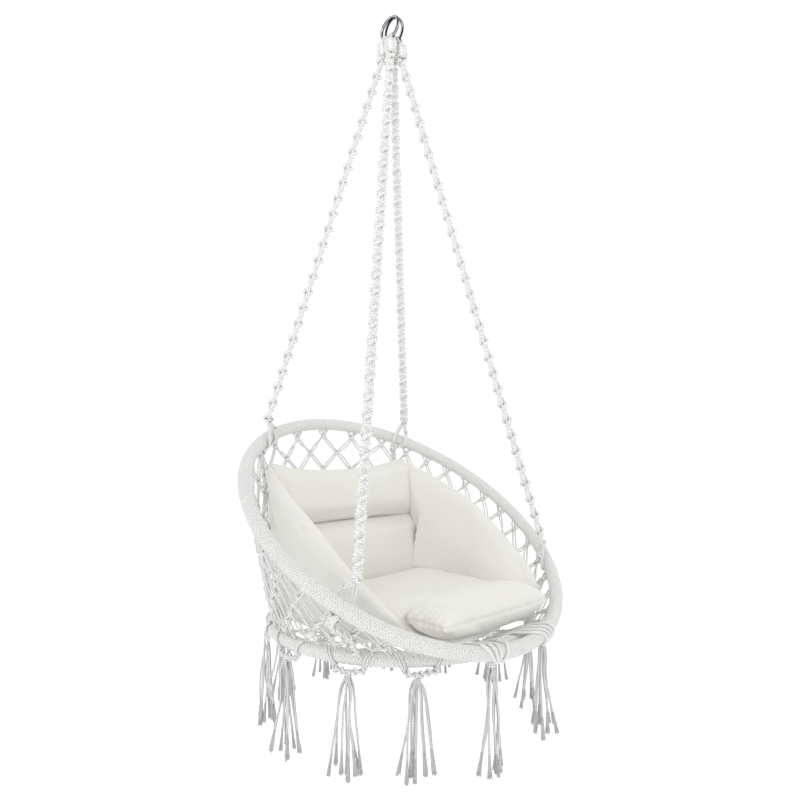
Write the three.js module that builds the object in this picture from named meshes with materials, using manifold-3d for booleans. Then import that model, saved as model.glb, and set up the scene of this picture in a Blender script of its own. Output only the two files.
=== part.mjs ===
// Hanging hammock chair: two hoops in knitted sleeves, a knotted net wall between them, four ropes gathered
// on a pair of rings, twelve tassels, and a bucket cushion with a loose front pillow.
// Millimetres, +Z up. The origin is the point where a hook bears inside the rings. The chair faces -Y.

import * as THREE from 'three';
import { mergeVertices } from 'three/addons/utils/BufferGeometryUtils.js';
import Module from 'manifold-3d';

const wasm = await Module();
wasm.setup();

// Clearances
const SEAT_GAP = 0.3;
const EYE_GAP_RADIAL = 0.6;
const EYE_GAP_SIDE = 1.0;
const NECK_GAP = 0.4;

// Rings: round wire, standing side by side and leaning apart below the hook
const RING_WIRE_RADIUS = 3.5;
const RING_RADIUS = 29;
const RING_LEAN = THREE.MathUtils.degToRad(7.4);

// Eyes: four cords laid side by side over the ring wire, gathered into a neck
const EYE_CORD = 4;
const EYE_ANGLE = THREE.MathUtils.degToRad(18);
const EYE_HALF_ANGLE = THREE.MathUtils.degToRad(16);
const NECK_THICKNESS = 9;
const NECK_WIDTH = 12;
const NECK_DEPTH = 8;

// Wraps: whipped collars under the eyes
const WRAP_X = 18;
const WRAP_Y = 13.7;
const WRAP_TOP_Z = -65;
const WRAP_HEIGHT = 33;
const WRAP_WIDTH = 27;
const WRAP_BORE_X = 17;
const WRAP_BORE_DEPTH = 15.5;

// Hoops: steel tube in a knitted sleeve whose seam gapes towards the net
const UPPER_RADIUS = 385;
const UPPER_CENTRE_Y = -50;
const UPPER_CENTRE_Z = -1220;
const UPPER_CENTRE = new THREE.Vector3(0, UPPER_CENTRE_Y, UPPER_CENTRE_Z);
const UPPER_TILT = THREE.MathUtils.degToRad(35.4);
const LOWER_RADIUS = 293;
const LOWER_TILT = 0;
// At the front the lower hoop lies this far behind and under the upper one.
const FRONT_STEP_BACK = 36.8;
const FRONT_STEP_DOWN = 4;
const LOWER_CENTRE = new THREE.Vector3(
  0,
  UPPER_CENTRE_Y - UPPER_RADIUS * Math.cos(UPPER_TILT) + FRONT_STEP_BACK + LOWER_RADIUS,
  UPPER_CENTRE_Z - UPPER_RADIUS * Math.sin(UPPER_TILT) - FRONT_STEP_DOWN,
);
const HOOP_TUBE_RADIUS = 12.5;
const SLEEVE_RADIUS = 15;
const SLIT_WIDTH = 7;
const HOOP_STEPS = 32;
const SECTION_POINTS = 10;

// Ropes, hitches and drop cords, by the hoop angle where each one grips the upper hoop
const ROPE_RADIUS = 11;
const ROPE_SIDES = 10;
const HITCH_CORD_RADIUS = 5;
const HITCH_RISE = 55;
const HITCH_DROP = 31;
const DROP_CORD_RADIUS = 6;
const DROP_CORD_OFFSET = 12;
const GRIP_ANGLE = {
  back_right: THREE.MathUtils.degToRad(55.3),
  back_left: THREE.MathUtils.degToRad(124.7),
  front_left: THREE.MathUtils.degToRad(211),
  front_right: THREE.MathUtils.degToRad(329),
};

// Wall net: paired cords knotted into diamonds
const NET_ROW = 43;
const NET_FIRST_KNOT = 30;
const NET_LAST_KNOT = 24;
const NET_LEG = 10.5;
const NET_LOOP_LEG = 7;
const NET_LOOP_SPREAD = 12;
const NET_STEM = 10;
const KNOT_DEPTH = 7;
const NET_DEPTH = 4;
const NET_END_GAP = 0.7;
const NET_SPLICE = 8.5;
const NET_COLUMNS = { back: 5, left: 9, front: 12, right: 9 };

// Seat net: a web of the same cords that sags inside the lower hoop
const SEAT_SPOKES = 16;
const SEAT_ROWS = 5;
const SEAT_SAG = 20;
const SEAT_KNOT_DEPTH = 6;
const SEAT_SHRINK_SHARE = 0.74;

// Tassels under the lower hoop
const TASSEL_COUNT = 12;
const TASSEL_PHASE = THREE.MathUtils.degToRad(26);
const SWAG_HALF_SPAN = 38;
const SWAG_DROP = 22;
const SWAG_CORD_RADIUS = 4;
const TASSEL_KNOT_RADIUS = 13;
const TASSEL_KNOT_HEIGHT = 30;
const TASSEL_LENGTH = 195;
const TASSEL_SPREAD = 16;
const STRAND_COUNT = 7;
const STRAND_RADIUS = 4.6;

// Bucket cushion, laid out from the lower hoop that it stands in
const SEAT_SIDE_MARGIN = 89;
const SEAT_HALF_WIDTH = LOWER_RADIUS - SEAT_SIDE_MARGIN;
const SEAT_FRONT_MARGIN = 37;
const SEAT_FRONT_RADIUS = LOWER_RADIUS - SEAT_FRONT_MARGIN;
const SEAT_FRONT_POWER = 2.5;
const SEAT_BACK_MARGIN = 159;
const SEAT_BACK_Y = LOWER_CENTRE.y + LOWER_RADIUS - SEAT_BACK_MARGIN;
const CUSHION_BASE_RISE = 11;
const CUSHION_BASE_Z = LOWER_CENTRE.z + CUSHION_BASE_RISE;
const SEAT_THICKNESS = 58;
const SEAT_TOP_Z = CUSHION_BASE_Z + SEAT_THICKNESS;
const SEAT_CROWN = 6;
const SEAT_EDGE = 26;
const CUSHION_BASE_INSET = 40;
const CUSHION_NET_GAP = 12;
const BACK_FOOT_SET = 8;
const BACK_FOOT_Y = SEAT_BACK_Y + BACK_FOOT_SET;
const BACK_FOOT_Z = SEAT_TOP_Z + BACK_FOOT_SET;
const BACK_HEAD_MARGIN = 83.8;
const BACK_HEAD_Y = UPPER_CENTRE_Y + UPPER_RADIUS * Math.cos(UPPER_TILT) - BACK_HEAD_MARGIN;
const BACK_HEAD_DROP = 118;
const BACK_HEAD_Z = UPPER_CENTRE_Z + UPPER_RADIUS * Math.sin(UPPER_TILT) - BACK_HEAD_DROP;
const LOWER_ROLL_SHARE = 0.6106;
const ROLL_SEAM_Z = THREE.MathUtils.lerp(CUSHION_BASE_Z, BACK_HEAD_Z, LOWER_ROLL_SHARE);
const BACK_CURVE = 22;
const BACK_TOP_RISE = 18;
const ROLL_EDGE = 30;
const ROLL_BULGE = 7;
// A wing stands on the seat's edge, apart from the net. Its crest swings out and stays near the upper hoop's
// plane: it dips under it at the back corner and towards the front.
const WING_THICKNESS = 47;
const WING_TOP_THICKNESS = 26;
const WING_BULGE = 9;
const WING_EDGE_SHARE = 0.43;
const WING_END_SHARE = 0.6;
const WING_BACK_ANGLE = THREE.MathUtils.degToRad(58);
const WING_FRONT_ANGLE = THREE.MathUtils.degToRad(-40);
const CREST_BACK_Y = UPPER_CENTRE_Y + UPPER_RADIUS * Math.cos(UPPER_TILT) - BACK_HEAD_MARGIN;
const CREST_FRONT_Y = LOWER_CENTRE.y - SEAT_HALF_WIDTH;
const CREST_WIDEST_Y = LOWER_CENTRE.y;
const CREST_HOOP_MARGIN = 22;
const CREST_HALF_WIDTH = LOWER_RADIUS - CREST_HOOP_MARGIN;
const CREST_BACK_TUCK = 50;
const CREST_FRONT_TUCK = 26;
const CREST_PLANE_RISE = 10;
const CREST_BACK_DIP = 51;
const CREST_FRONT_DIP = 9;

// Front pillow
const PILLOW_X = 4;
const PILLOW_SETBACK = 64;
const PILLOW_Y = LOWER_CENTRE.y - LOWER_RADIUS + PILLOW_SETBACK;
const PILLOW_SINK = 49;
const PILLOW_LENGTH = 350;
const PILLOW_DEPTH = 124;
const PILLOW_HEIGHT = 84;
const PILLOW_TUCK_SHARE = 0.16;

const CHROME = new THREE.MeshStandardMaterial({ color: 0xc8cacc, roughness: 0.12, metalness: 1 });
const STEEL = new THREE.MeshStandardMaterial({ color: 0x9a9c9e, roughness: 0.4, metalness: 0.9 });
const CORD = new THREE.MeshStandardMaterial({ color: 0xe6e8ea, roughness: 0.9, metalness: 0 });
const KNIT = new THREE.MeshStandardMaterial({ color: 0xdfe1e3, roughness: 0.95, metalness: 0 });
const CLOTH = new THREE.MeshStandardMaterial({ color: 0xf0ebdf, roughness: 0.95, metalness: 0 });

const chair = new THREE.Group();
const vec = (x, y, z) => new THREE.Vector3(x, y, z);
const mix = THREE.MathUtils.lerp;
const clamp = THREE.MathUtils.clamp;

// A closed solid from points and triangles, turned so that its faces point out.
function solid(points, triangles) {
  let volume = 0;
  for (const [a, b, c] of triangles) volume += points[a].dot(points[b].clone().cross(points[c]));
  const geometry = new THREE.BufferGeometry();
  geometry.setAttribute('position', new THREE.Float32BufferAttribute(points.flatMap((p) => p.toArray()), 3));
  geometry.setIndex(triangles.flatMap(([a, b, c]) => (volume < 0 ? [a, c, b] : [a, b, c])));
  return geometry;
}

function place(name, geometry, material) {
  geometry.computeVertexNormals();
  const mesh = new THREE.Mesh(geometry, material);
  mesh.name = name;
  chair.add(mesh);
  return mesh;
}

// Joins equal closed outlines into a skin. An end outline is capped from its centre; a run that closes on
// itself has no ends.
function loft(outlines, closed = false) {
  const count = outlines[0].length;
  const points = outlines.flat();
  const triangles = [];
  const spans = closed ? outlines.length : outlines.length - 1;
  for (let i = 0; i < spans; i += 1) {
    const next = (i + 1) % outlines.length;
    for (let j = 0; j < count; j += 1) {
      const k = (j + 1) % count;
      triangles.push([i * count + j, i * count + k, next * count + k]);
      triangles.push([i * count + j, next * count + k, next * count + j]);
    }
  }
  if (!closed) {
    for (const [row, turn] of [[0, -1], [outlines.length - 1, 1]]) {
      if (count <= 5) {
        for (let j = 2; j < count; j += 1) {
          const fan = [row * count, row * count + j - 1, row * count + j];
          triangles.push(turn < 0 ? fan.reverse() : fan);
        }
        continue;
      }
      const centre = vec(0, 0, 0);
      for (const p of outlines[row]) centre.addScaledVector(p, 1 / count);
      points.push(centre);
      for (let j = 0; j < count; j += 1) {
        const ends = [row * count + j, row * count + ((j + 1) % count)];
        if (turn < 0) ends.reverse();
        triangles.push([...ends, points.length - 1]);
      }
    }
  }
  return solid(points, triangles);
}

// A tube along points with one radius or one per point. Its frames are carried along without twist.
function tube(path, radius, sides, closed = false, side = null) {
  const outlines = [];
  let across = null;
  for (let i = 0; i < path.length; i += 1) {
    const before = closed ? path[(i + path.length - 1) % path.length] : path[Math.max(i - 1, 0)];
    const after = closed ? path[(i + 1) % path.length] : path[Math.min(i + 1, path.length - 1)];
    const along = after.clone().sub(before).normalize();
    if (!across) across = side ? side.clone() : vec(0, 1, 0).cross(along);
    if (across.lengthSq() < 0.01) across = vec(1, 0, 0).cross(along);
    across.addScaledVector(along, -across.dot(along)).normalize();
    const up = along.clone().cross(across);
    const r = Array.isArray(radius) ? radius[i] : radius;
    const outline = [];
    for (let j = 0; j < sides; j += 1) {
      const turn = (2 * Math.PI * j) / sides;
      outline.push(path[i].clone().addScaledVector(across, r * Math.cos(turn)).addScaledVector(up, r * Math.sin(turn)));
    }
    outlines.push(outline);
  }
  return loft(outlines, closed);
}

function toManifold(geometry) {
  const bare = new THREE.BufferGeometry();
  bare.setAttribute('position', geometry.getAttribute('position'));
  bare.setIndex(geometry.getIndex());
  const merged = mergeVertices(bare, 0.0001);
  return new wasm.Manifold(new wasm.Mesh({
    numProp: 3,
    vertProperties: Float32Array.from(merged.getAttribute('position').array),
    triVerts: Uint32Array.from(merged.getIndex().array),
  }));
}

function fromManifold(body) {
  const data = body.getMesh();
  const geometry = new THREE.BufferGeometry();
  geometry.setAttribute('position', new THREE.Float32BufferAttribute(Float32Array.from(data.vertProperties), 3));
  geometry.setIndex(Array.from(data.triVerts));
  return geometry;
}

function joined(geometries) {
  return fromManifold(geometries.map(toManifold).reduce((sum, body) => sum.add(body)));
}

function cut(geometry, ...tools) {
  return fromManifold(tools.map(toManifold).reduce((rest, tool) => rest.subtract(tool), toManifold(geometry)));
}

// Rings. The two stand apart at the top by the seat gap and lean apart below it.
const ringTopX = RING_WIRE_RADIUS + SEAT_GAP / 2;
const ringTopZ = RING_WIRE_RADIUS;
const ringCentreX = ringTopX + RING_RADIUS * Math.sin(RING_LEAN);
const ringCentreZ = ringTopZ - RING_RADIUS * Math.cos(RING_LEAN);
for (const [name, side] of [['ring_left', -1], ['ring_right', 1]]) {
  const wire = new THREE.TorusGeometry(RING_RADIUS, RING_WIRE_RADIUS, 8, 28);
  wire.deleteAttribute('normal');
  wire.deleteAttribute('uv');
  const ring = place(name, mergeVertices(wire, 0.0001), CHROME);
  ring.rotation.set(0, side * (Math.PI / 2 - RING_LEAN), 0);
  ring.position.set(side * ringCentreX, 0, ringCentreZ);
}

// Eyes. Their bores follow the ring wire round the swing axis, which lies along X through the ring centres.
const wireX = ringCentreX + RING_RADIUS * Math.sin(RING_LEAN) * Math.cos(EYE_ANGLE);
const wireR = RING_RADIUS * Math.cos(RING_LEAN);
const boreR = RING_WIRE_RADIUS + EYE_GAP_RADIAL;
const boreX = RING_WIRE_RADIUS + EYE_GAP_SIDE;

function eye(sideX, sideY) {
  const slices = 4;
  const ring = (halfX, halfR, count, flat) => {
    const outline = [];
    for (let i = 0; i < count; i += 1) {
      const turn = (2 * Math.PI * (i + 1 / 2)) / count;
      outline.push({ x: wireX + (halfX * Math.cos(turn)) / flat, r: wireR - (halfR * Math.sin(turn)) / flat });
    }
    return outline;
  };
  const count = 8;
  const outer = ring(boreX + EYE_CORD, boreR + EYE_CORD, count, 1);
  const hole = ring(boreX, boreR, count, Math.cos(Math.PI / count));
  const rows = [];
  for (let s = 0; s <= slices; s += 1) {
    const angle = sideY * (EYE_ANGLE + mix(-EYE_HALF_ANGLE, EYE_HALF_ANGLE, s / slices));
    const at = (p) => vec(sideX * p.x, p.r * Math.sin(angle), ringCentreZ - p.r * Math.cos(angle));
    rows.push([outer.map(at), hole.map(at)]);
  }
  const points = rows.flat(2);
  const triangles = [];
  const index = (s, inner, i) => (2 * s + inner) * count + (i % count);
  const quad = (a, b, c, d) => triangles.push([a, b, c], [a, c, d]);
  for (let i = 0; i < count; i += 1) {
    for (let s = 0; s < slices; s += 1) {
      quad(index(s, 0, i), index(s, 0, i + 1), index(s + 1, 0, i + 1), index(s + 1, 0, i));
      quad(index(s, 1, i + 1), index(s, 1, i), index(s + 1, 1, i), index(s + 1, 1, i + 1));
    }
    quad(index(0, 0, i + 1), index(0, 0, i), index(0, 1, i), index(0, 1, i + 1));
    quad(index(slices, 0, i), index(slices, 0, i + 1), index(slices, 1, i + 1), index(slices, 1, i));
  }
  const loop = solid(points, triangles);
  const neckRow = (x, half, z) => {
    const low = sideY * WRAP_Y - NECK_WIDTH / 2;
    const high = sideY * WRAP_Y + NECK_WIDTH / 2;
    const [a, b] = [sideX * x - half, sideX * x + half];
    return [vec(a, low, z), vec(b, low, z), vec(b, high, z), vec(a, high, z)];
  };
  const loopBottomZ = ringCentreZ - (wireR + boreR) * Math.cos(EYE_ANGLE);
  const neck = loft([
    neckRow(wireX, NECK_THICKNESS / 2, loopBottomZ - EYE_CORD * 0.6),
    neckRow(WRAP_X, NECK_THICKNESS / 2, WRAP_TOP_Z + EYE_CORD / 4),
    neckRow(WRAP_X, NECK_THICKNESS / 2, WRAP_TOP_Z - NECK_DEPTH),
  ]);
  return joined([loop, neck]);
}

// Wraps: a barrel with a blind bore that takes the eye's neck.
function boxRound(cx, cy, halfX, halfY, z, count = 12) {
  const outline = [];
  for (let i = 0; i < count; i += 1) {
    const turn = (2 * Math.PI * (i + 1 / 2)) / count;
    const c = Math.cos(turn);
    const s = Math.sin(turn);
    const reach = 1 / (Math.abs(c) ** 4 + Math.abs(s) ** 4) ** (1 / 4);
    outline.push(vec(cx + halfX * reach * c, cy + halfY * reach * s, z));
  }
  return outline;
}

function wrap(sideX, sideY) {
  const cx = sideX * WRAP_X;
  const cy = sideY * WRAP_Y;
  const half = WRAP_WIDTH / 2 - SEAT_GAP / 2;
  const bottom = WRAP_TOP_Z - WRAP_HEIGHT;
  const outer = [
    boxRound(cx, cy, half - EYE_CORD / 2, half - EYE_CORD / 2, WRAP_TOP_Z),
    boxRound(cx, cy, half, half, WRAP_TOP_Z - WRAP_HEIGHT / 5),
    boxRound(cx, cy, half, half, bottom + WRAP_HEIGHT / 5),
    boxRound(cx, cy, half - EYE_CORD / 2, half - EYE_CORD / 2, bottom),
  ];
  const boreY = NECK_WIDTH / 2 + NECK_GAP;
  const bore = [vec(-1, -1, 0), vec(1, -1, 0), vec(1, 1, 0), vec(-1, 1, 0)];
  const boreRow = (z) => bore.map((p) => vec(cx + (p.x * WRAP_BORE_X) / 2, cy + p.y * boreY, z));
  const over = WRAP_TOP_Z + EYE_CORD;
  return cut(loft(outer), loft([boreRow(over), boreRow(WRAP_TOP_Z - WRAP_BORE_DEPTH)]));
}

// Hoop geometry. Stations stand on the true circle and everything between them follows the straight chord,
// so what enters a sleeve lines up with the faceted tube.
function hoopPoint(hoop, angle) {
  const step = (2 * Math.PI) / HOOP_STEPS;
  const at = (i) => {
    const a = i * step;
    const y = Math.cos(hoop.tilt) * Math.sin(a) * hoop.radius;
    const z = Math.sin(hoop.tilt) * Math.sin(a) * hoop.radius;
    return hoop.centre.clone().add(vec(hoop.radius * Math.cos(a), y, z));
  };
  const i = Math.floor(angle / step);
  return at(i).lerp(at(i + 1), angle / step - i);
}
const upper = { radius: UPPER_RADIUS, centre: UPPER_CENTRE, tilt: UPPER_TILT };
const lower = { radius: LOWER_RADIUS, centre: LOWER_CENTRE, tilt: LOWER_TILT };
upper.other = lower;
lower.other = upper;

function hoopFrame(hoop, angle) {
  const point = hoopPoint(hoop, angle);
  const tangent = vec(-Math.sin(angle), Math.cos(angle) * Math.cos(hoop.tilt), Math.cos(angle) * Math.sin(hoop.tilt));
  const facing = hoopPoint(hoop.other, angle).sub(point);
  facing.addScaledVector(tangent, -facing.dot(tangent)).normalize();
  return { point, tangent, facing, across: tangent.clone().cross(facing) };
}

function hoopTube(hoop) {
  const outlines = [];
  for (let i = 0; i < HOOP_STEPS; i += 1) {
    outlines.push(sectionRow(hoop, i, HOOP_TUBE_RADIUS).reverse());
  }
  return loft(outlines, true);
}

function sectionRow(hoop, station, radius) {
  const frame = hoopFrame(hoop, (2 * Math.PI * station) / HOOP_STEPS);
  const edge = Math.asin(SLIT_WIDTH / 2 / SLEEVE_RADIUS);
  const row = [];
  for (let j = 0; j < SECTION_POINTS; j += 1) {
    const turn = mix(edge, 2 * Math.PI - edge, j / (SECTION_POINTS - 1));
    const out = frame.facing.clone().multiplyScalar(Math.cos(turn)).addScaledVector(frame.across, Math.sin(turn));
    row.push(frame.point.clone().addScaledVector(out, radius));
  }
  return row;
}

function hoopSleeve(hoop) {
  const outlines = [];
  const inner = HOOP_TUBE_RADIUS + SEAT_GAP;
  for (let i = 0; i < HOOP_STEPS; i += 1) {
    outlines.push([...sectionRow(hoop, i, SLEEVE_RADIUS), ...sectionRow(hoop, i, inner).reverse()]);
  }
  return loft(outlines, true);
}
place('upper_hoop_tube', hoopTube(upper), STEEL);
place('upper_hoop_sleeve', hoopSleeve(upper), KNIT);
place('lower_hoop_tube', hoopTube(lower), STEEL);
place('lower_hoop_sleeve', hoopSleeve(lower), KNIT);

// The wall between the hoops is ruled: depth runs from the upper hoop's centre-line to the lower one's.
function wallHeight(angle) {
  return hoopPoint(upper, angle).distanceTo(hoopPoint(lower, angle));
}

function wallPoint(angle, depth, inset = 0) {
  const top = hoopPoint(upper, angle);
  const down = hoopPoint(lower, angle).sub(top).normalize();
  return top.addScaledVector(down, depth).addScaledVector(wallNormal(angle), inset);
}

// Unit normal of the wall that points into the seat.
function wallNormal(angle) {
  const frame = hoopFrame(upper, angle);
  const down = hoopPoint(lower, angle).sub(frame.point).normalize();
  const normal = frame.tangent.clone().cross(down).normalize();
  const inward = vec(-Math.cos(angle), -Math.sin(angle) * Math.cos(UPPER_TILT), 1 / 4);
  return normal.dot(inward) < 0 ? normal.negate() : normal;
}

// Thickens a net of knots and legs that lies on a surface. Each leg has a lozenge section with a ridge on
// both faces, so the legs that meet in a knot share its corners and its two crowns.
function thicken(knots, legs) {
  const points = [];
  const triangles = [];
  const ends = knots.map(() => []);
  legs.forEach((leg, index) => {
    ends[leg.a].push({ leg: index, other: leg.b });
    ends[leg.b].push({ leg: index, other: leg.a });
  });
  const cornerOf = knots.map(() => new Map());
  const crown = [];
  knots.forEach((knot, k) => {
    if (ends[k].length === 0) return;
    const normal = knot.normal;
    const east = knot.east.clone().addScaledVector(normal, -knot.east.dot(normal)).normalize();
    const north = normal.clone().cross(east);
    const half = knot.depth / 2;
    points.push(knot.point.clone().addScaledVector(normal, half));
    points.push(knot.point.clone().addScaledVector(normal, -half));
    crown[k] = points.length - 2;
    const rays = ends[k].map((end) => {
      const to = knots[end.other].point.clone().sub(knot.point);
      const d = new THREE.Vector2(to.dot(east), to.dot(north)).normalize();
      return { ...end, d, turn: Math.atan2(d.y, d.x), h: legs[end.leg].width / 2 };
    });
    rays.sort((p, q) => p.turn - q.turn);
    const add = (x, y) => {
      points.push(knot.point.clone().addScaledVector(east, x).addScaledVector(north, y));
      return points.length - 1;
    };
    if (rays.length === 1) {
      const { d, h, leg } = rays[0];
      const reach = h / Math.max(Math.abs(d.y), 0.3);
      const turn = d.y > 0 ? 1 : -1;
      cornerOf[k].set(leg, { left: add(-reach * turn, 0), right: add(reach * turn, 0) });
      return;
    }
    rays.forEach((ray, i) => {
      const next = rays[(i + 1) % rays.length];
      const crossing = ray.d.x * next.d.y - ray.d.y * next.d.x;
      let x;
      let y;
      if (Math.abs(crossing) < 0.25) {
        x = -ray.d.y * ray.h;
        y = ray.d.x * ray.h;
      } else {
        x = (next.h * ray.d.x + ray.h * next.d.x) / crossing;
        y = (next.h * ray.d.y + ray.h * next.d.y) / crossing;
      }
      const corner = add(x, y);
      cornerOf[k].set(ray.leg, { ...cornerOf[k].get(ray.leg), left: corner });
      cornerOf[k].set(next.leg, { ...cornerOf[k].get(next.leg), right: corner });
    });
  });
  const quad = (a, b, c, d) => triangles.push([a, b, c], [a, c, d]);
  legs.forEach((leg, index) => {
    const a = cornerOf[leg.a].get(index);
    const b = cornerOf[leg.b].get(index);
    const [frontA, backA, frontB, backB] = [crown[leg.a], crown[leg.a] + 1, crown[leg.b], crown[leg.b] + 1];
    quad(frontA, frontB, b.right, a.left);
    quad(a.right, b.left, frontB, frontA);
    quad(a.left, b.right, backB, backA);
    quad(backA, backB, b.left, a.right);
    if (ends[leg.a].length === 1) quad(frontA, a.left, backA, a.right);
    if (ends[leg.b].length === 1) quad(frontB, b.left, backB, b.right);
  });
  return solid(points, triangles);
}

// Columns run from the back right grip towards the front and round to it again.
const spans = [
  { name: 'net_right', from: GRIP_ANGLE.back_right, to: GRIP_ANGLE.front_right - 2 * Math.PI, columns: NET_COLUMNS.right },
  { name: 'net_front', from: GRIP_ANGLE.front_right, to: GRIP_ANGLE.front_left, columns: NET_COLUMNS.front },
  { name: 'net_left', from: GRIP_ANGLE.front_left, to: GRIP_ANGLE.back_left, columns: NET_COLUMNS.left },
  { name: 'net_back', from: GRIP_ANGLE.back_left, to: GRIP_ANGLE.back_right, columns: NET_COLUMNS.back },
];
const columnTotal = spans.reduce((sum, span) => sum + span.columns, 0);

function columnAngle(column) {
  let rest = ((column % columnTotal) + columnTotal) % columnTotal;
  for (const span of spans) {
    if (rest <= span.columns) return mix(span.from, span.to, rest / span.columns);
    rest -= span.columns;
  }
  return 0;
}

// Depth at which a leg ends inside a sleeve. The wall meets a hoop aslant, so it is longer than the tube's
// radius.
function netEnd(hoop, angle) {
  const step = (2 * Math.PI) / HOOP_STEPS;
  const start = Math.floor(angle / step) * step;
  const chord = hoopPoint(hoop, start + step * 0.999).sub(hoopPoint(hoop, start)).normalize();
  const down = hoopPoint(hoop.other, angle).sub(hoopPoint(hoop, angle)).normalize();
  return (HOOP_TUBE_RADIUS + NET_END_GAP) / Math.sqrt(1 - down.dot(chord) ** 2);
}
const knotDepthOf = (row) => NET_FIRST_KNOT + (row - 1) * NET_ROW;
const knotKey = (row, half) => `${row}:${((half % (2 * columnTotal)) + 2 * columnTotal) % (2 * columnTotal)}`;

function hasKnot(row, half) {
  if (row < 1 || (row + half) % 2 !== 0) return false;
  if (knotDepthOf(row) > wallHeight(columnAngle(half / 2)) - NET_LAST_KNOT) return false;
  return row === 1 || (hasKnot(row - 1, half - 1) && hasKnot(row - 1, half + 1));
}

function netPanel(span, first) {
  const knots = [];
  const legs = [];
  const index = new Map();
  const isSide = span.name === 'net_left' || span.name === 'net_right';
  const low = 2 * first;
  const high = 2 * (first + span.columns);
  const mine = (half) => (isSide ? half >= low && half <= high : half > low && half < high);
  const knotAt = (angle, depth, thick) => {
    const share = depth / wallHeight(angle);
    const east = hoopFrame(upper, angle).tangent.lerp(hoopFrame(lower, angle).tangent, share).normalize();
    const down = hoopPoint(lower, angle).sub(hoopPoint(upper, angle)).normalize();
    const normal = east.clone().cross(down).normalize();
    if (normal.dot(wallNormal(angle)) < 0) normal.negate();
    knots.push({ point: wallPoint(angle, depth), normal, east, depth: thick });
    return knots.length - 1;
  };
  const shared = (key, make) => {
    if (!index.has(key)) index.set(key, make());
    return index.get(key);
  };
  const join = (a, b, width) => legs.push({ a, b, width });
  const row1 = (half) => hasKnot(1, half);
  const seatOn = (half) => {
    const key = `stem:${half}`;
    return shared(key, () => {
      const angle = columnAngle(half / 2);
      const end = wallHeight(angle) - netEnd(lower, angle);
      const fork = knotAt(angle, end - NET_STEM, NET_DEPTH);
      join(fork, knotAt(angle, end, NET_DEPTH), NET_LEG);
      return fork;
    });
  };
  const lace = (half) => shared(`lace:${half}`, () => {
    const angle = columnAngle(half / 2);
    return knotAt(angle, wallHeight(angle) / 2, NET_DEPTH);
  });
  // A leg that would run on to a knot of the next panel stops beside it.
  const spliced = (from, row, half) => {
    const angle = columnAngle(half / 2);
    const target = wallPoint(angle, knotDepthOf(row));
    const start = knots[from].point;
    const length = start.distanceTo(target);
    knots.push({
      point: start.clone().lerp(target, (length - NET_SPLICE) / length),
      normal: knots[from].normal,
      east: wallNormal(angle).cross(target.clone().sub(start)).normalize(),
      depth: NET_DEPTH,
    });
    return knots.length - 1;
  };
  for (let half = low; half <= high; half += 1) {
    if (!mine(half)) continue;
    const angle = columnAngle(half / 2);
    for (let row = 1; hasKnot(row, half) || (row === 1 && half % 2 === 0); row += 1) {
      if (!hasKnot(row, half)) continue;
      const me = shared(knotKey(row, half), () => knotAt(angle, knotDepthOf(row), KNOT_DEPTH));
      if (row === 1) {
        for (const turn of [-1, 1]) {
          const loopAngle = angle + (turn * NET_LOOP_SPREAD) / UPPER_RADIUS;
          join(me, knotAt(loopAngle, netEnd(upper, loopAngle), NET_DEPTH), NET_LOOP_LEG);
        }
      }
    }
    for (let row = half % 2 === 0 ? 2 : 1; hasKnot(row, half); row += 2) {
      const me = shared(knotKey(row, half), () => knotAt(angle, knotDepthOf(row), KNOT_DEPTH));
      if (row > 1) {
        for (const turn of [-1, 1]) {
          if (!mine(half + turn)) continue;
          const above = () => knotAt(columnAngle((half + turn) / 2), knotDepthOf(row - 1), KNOT_DEPTH);
          join(me, shared(knotKey(row - 1, half + turn), above), NET_LEG);
        }
      }
      for (const turn of [-1, 1]) {
        const next = half + turn;
        if (hasKnot(row + 1, next)) {
          if (!mine(next)) join(me, spliced(me, row + 1, next), NET_LEG);
          continue;
        }
        const partner = hasKnot(row, half + 2 * turn);
        if (row === 1 && !partner) {
          if (mine(next) && mine(half + 2 * turn)) join(me, lace(next), NET_LOOP_LEG);
          continue;
        }
        const nextAngle = columnAngle(next / 2);
        const remains = wallHeight(nextAngle) - netEnd(lower, nextAngle) - knotDepthOf(row);
        if (partner && mine(next) && mine(half + 2 * turn) && remains > NET_STEM) {
          join(me, seatOn(next), NET_LEG);
          continue;
        }
        const reach = clamp(remains / NET_ROW, 0.3, 0.72) / 2;
        const endAngle = columnAngle((half + turn * reach) / 2 + (turn * reach) / 2);
        join(me, knotAt(endAngle, wallHeight(endAngle) - netEnd(lower, endAngle), NET_DEPTH), NET_LEG);
      }
    }
    if (!isSide && half % 2 !== 0 && !row1(half)) {
      const me = lace(half);
      join(me, knotAt(angle, netEnd(upper, angle), NET_DEPTH), NET_LOOP_LEG);
      join(me, knotAt(angle, wallHeight(angle) - netEnd(lower, angle), NET_DEPTH), NET_LOOP_LEG);
      for (const turn of [-1, 1]) join(me, lace(half + turn), NET_LOOP_LEG);
    }
  }
  return thicken(knots, legs);
}
let firstColumn = 0;
for (const span of spans) {
  place(span.name, netPanel(span, firstColumn), CORD);
  firstColumn += span.columns;
}

// Seat net: rings of knots that shrink towards the middle of the lower hoop and sag below it.
function seatDrop(radius) {
  return SEAT_SAG * (1 - (radius / LOWER_RADIUS) ** 2);
}

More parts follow.
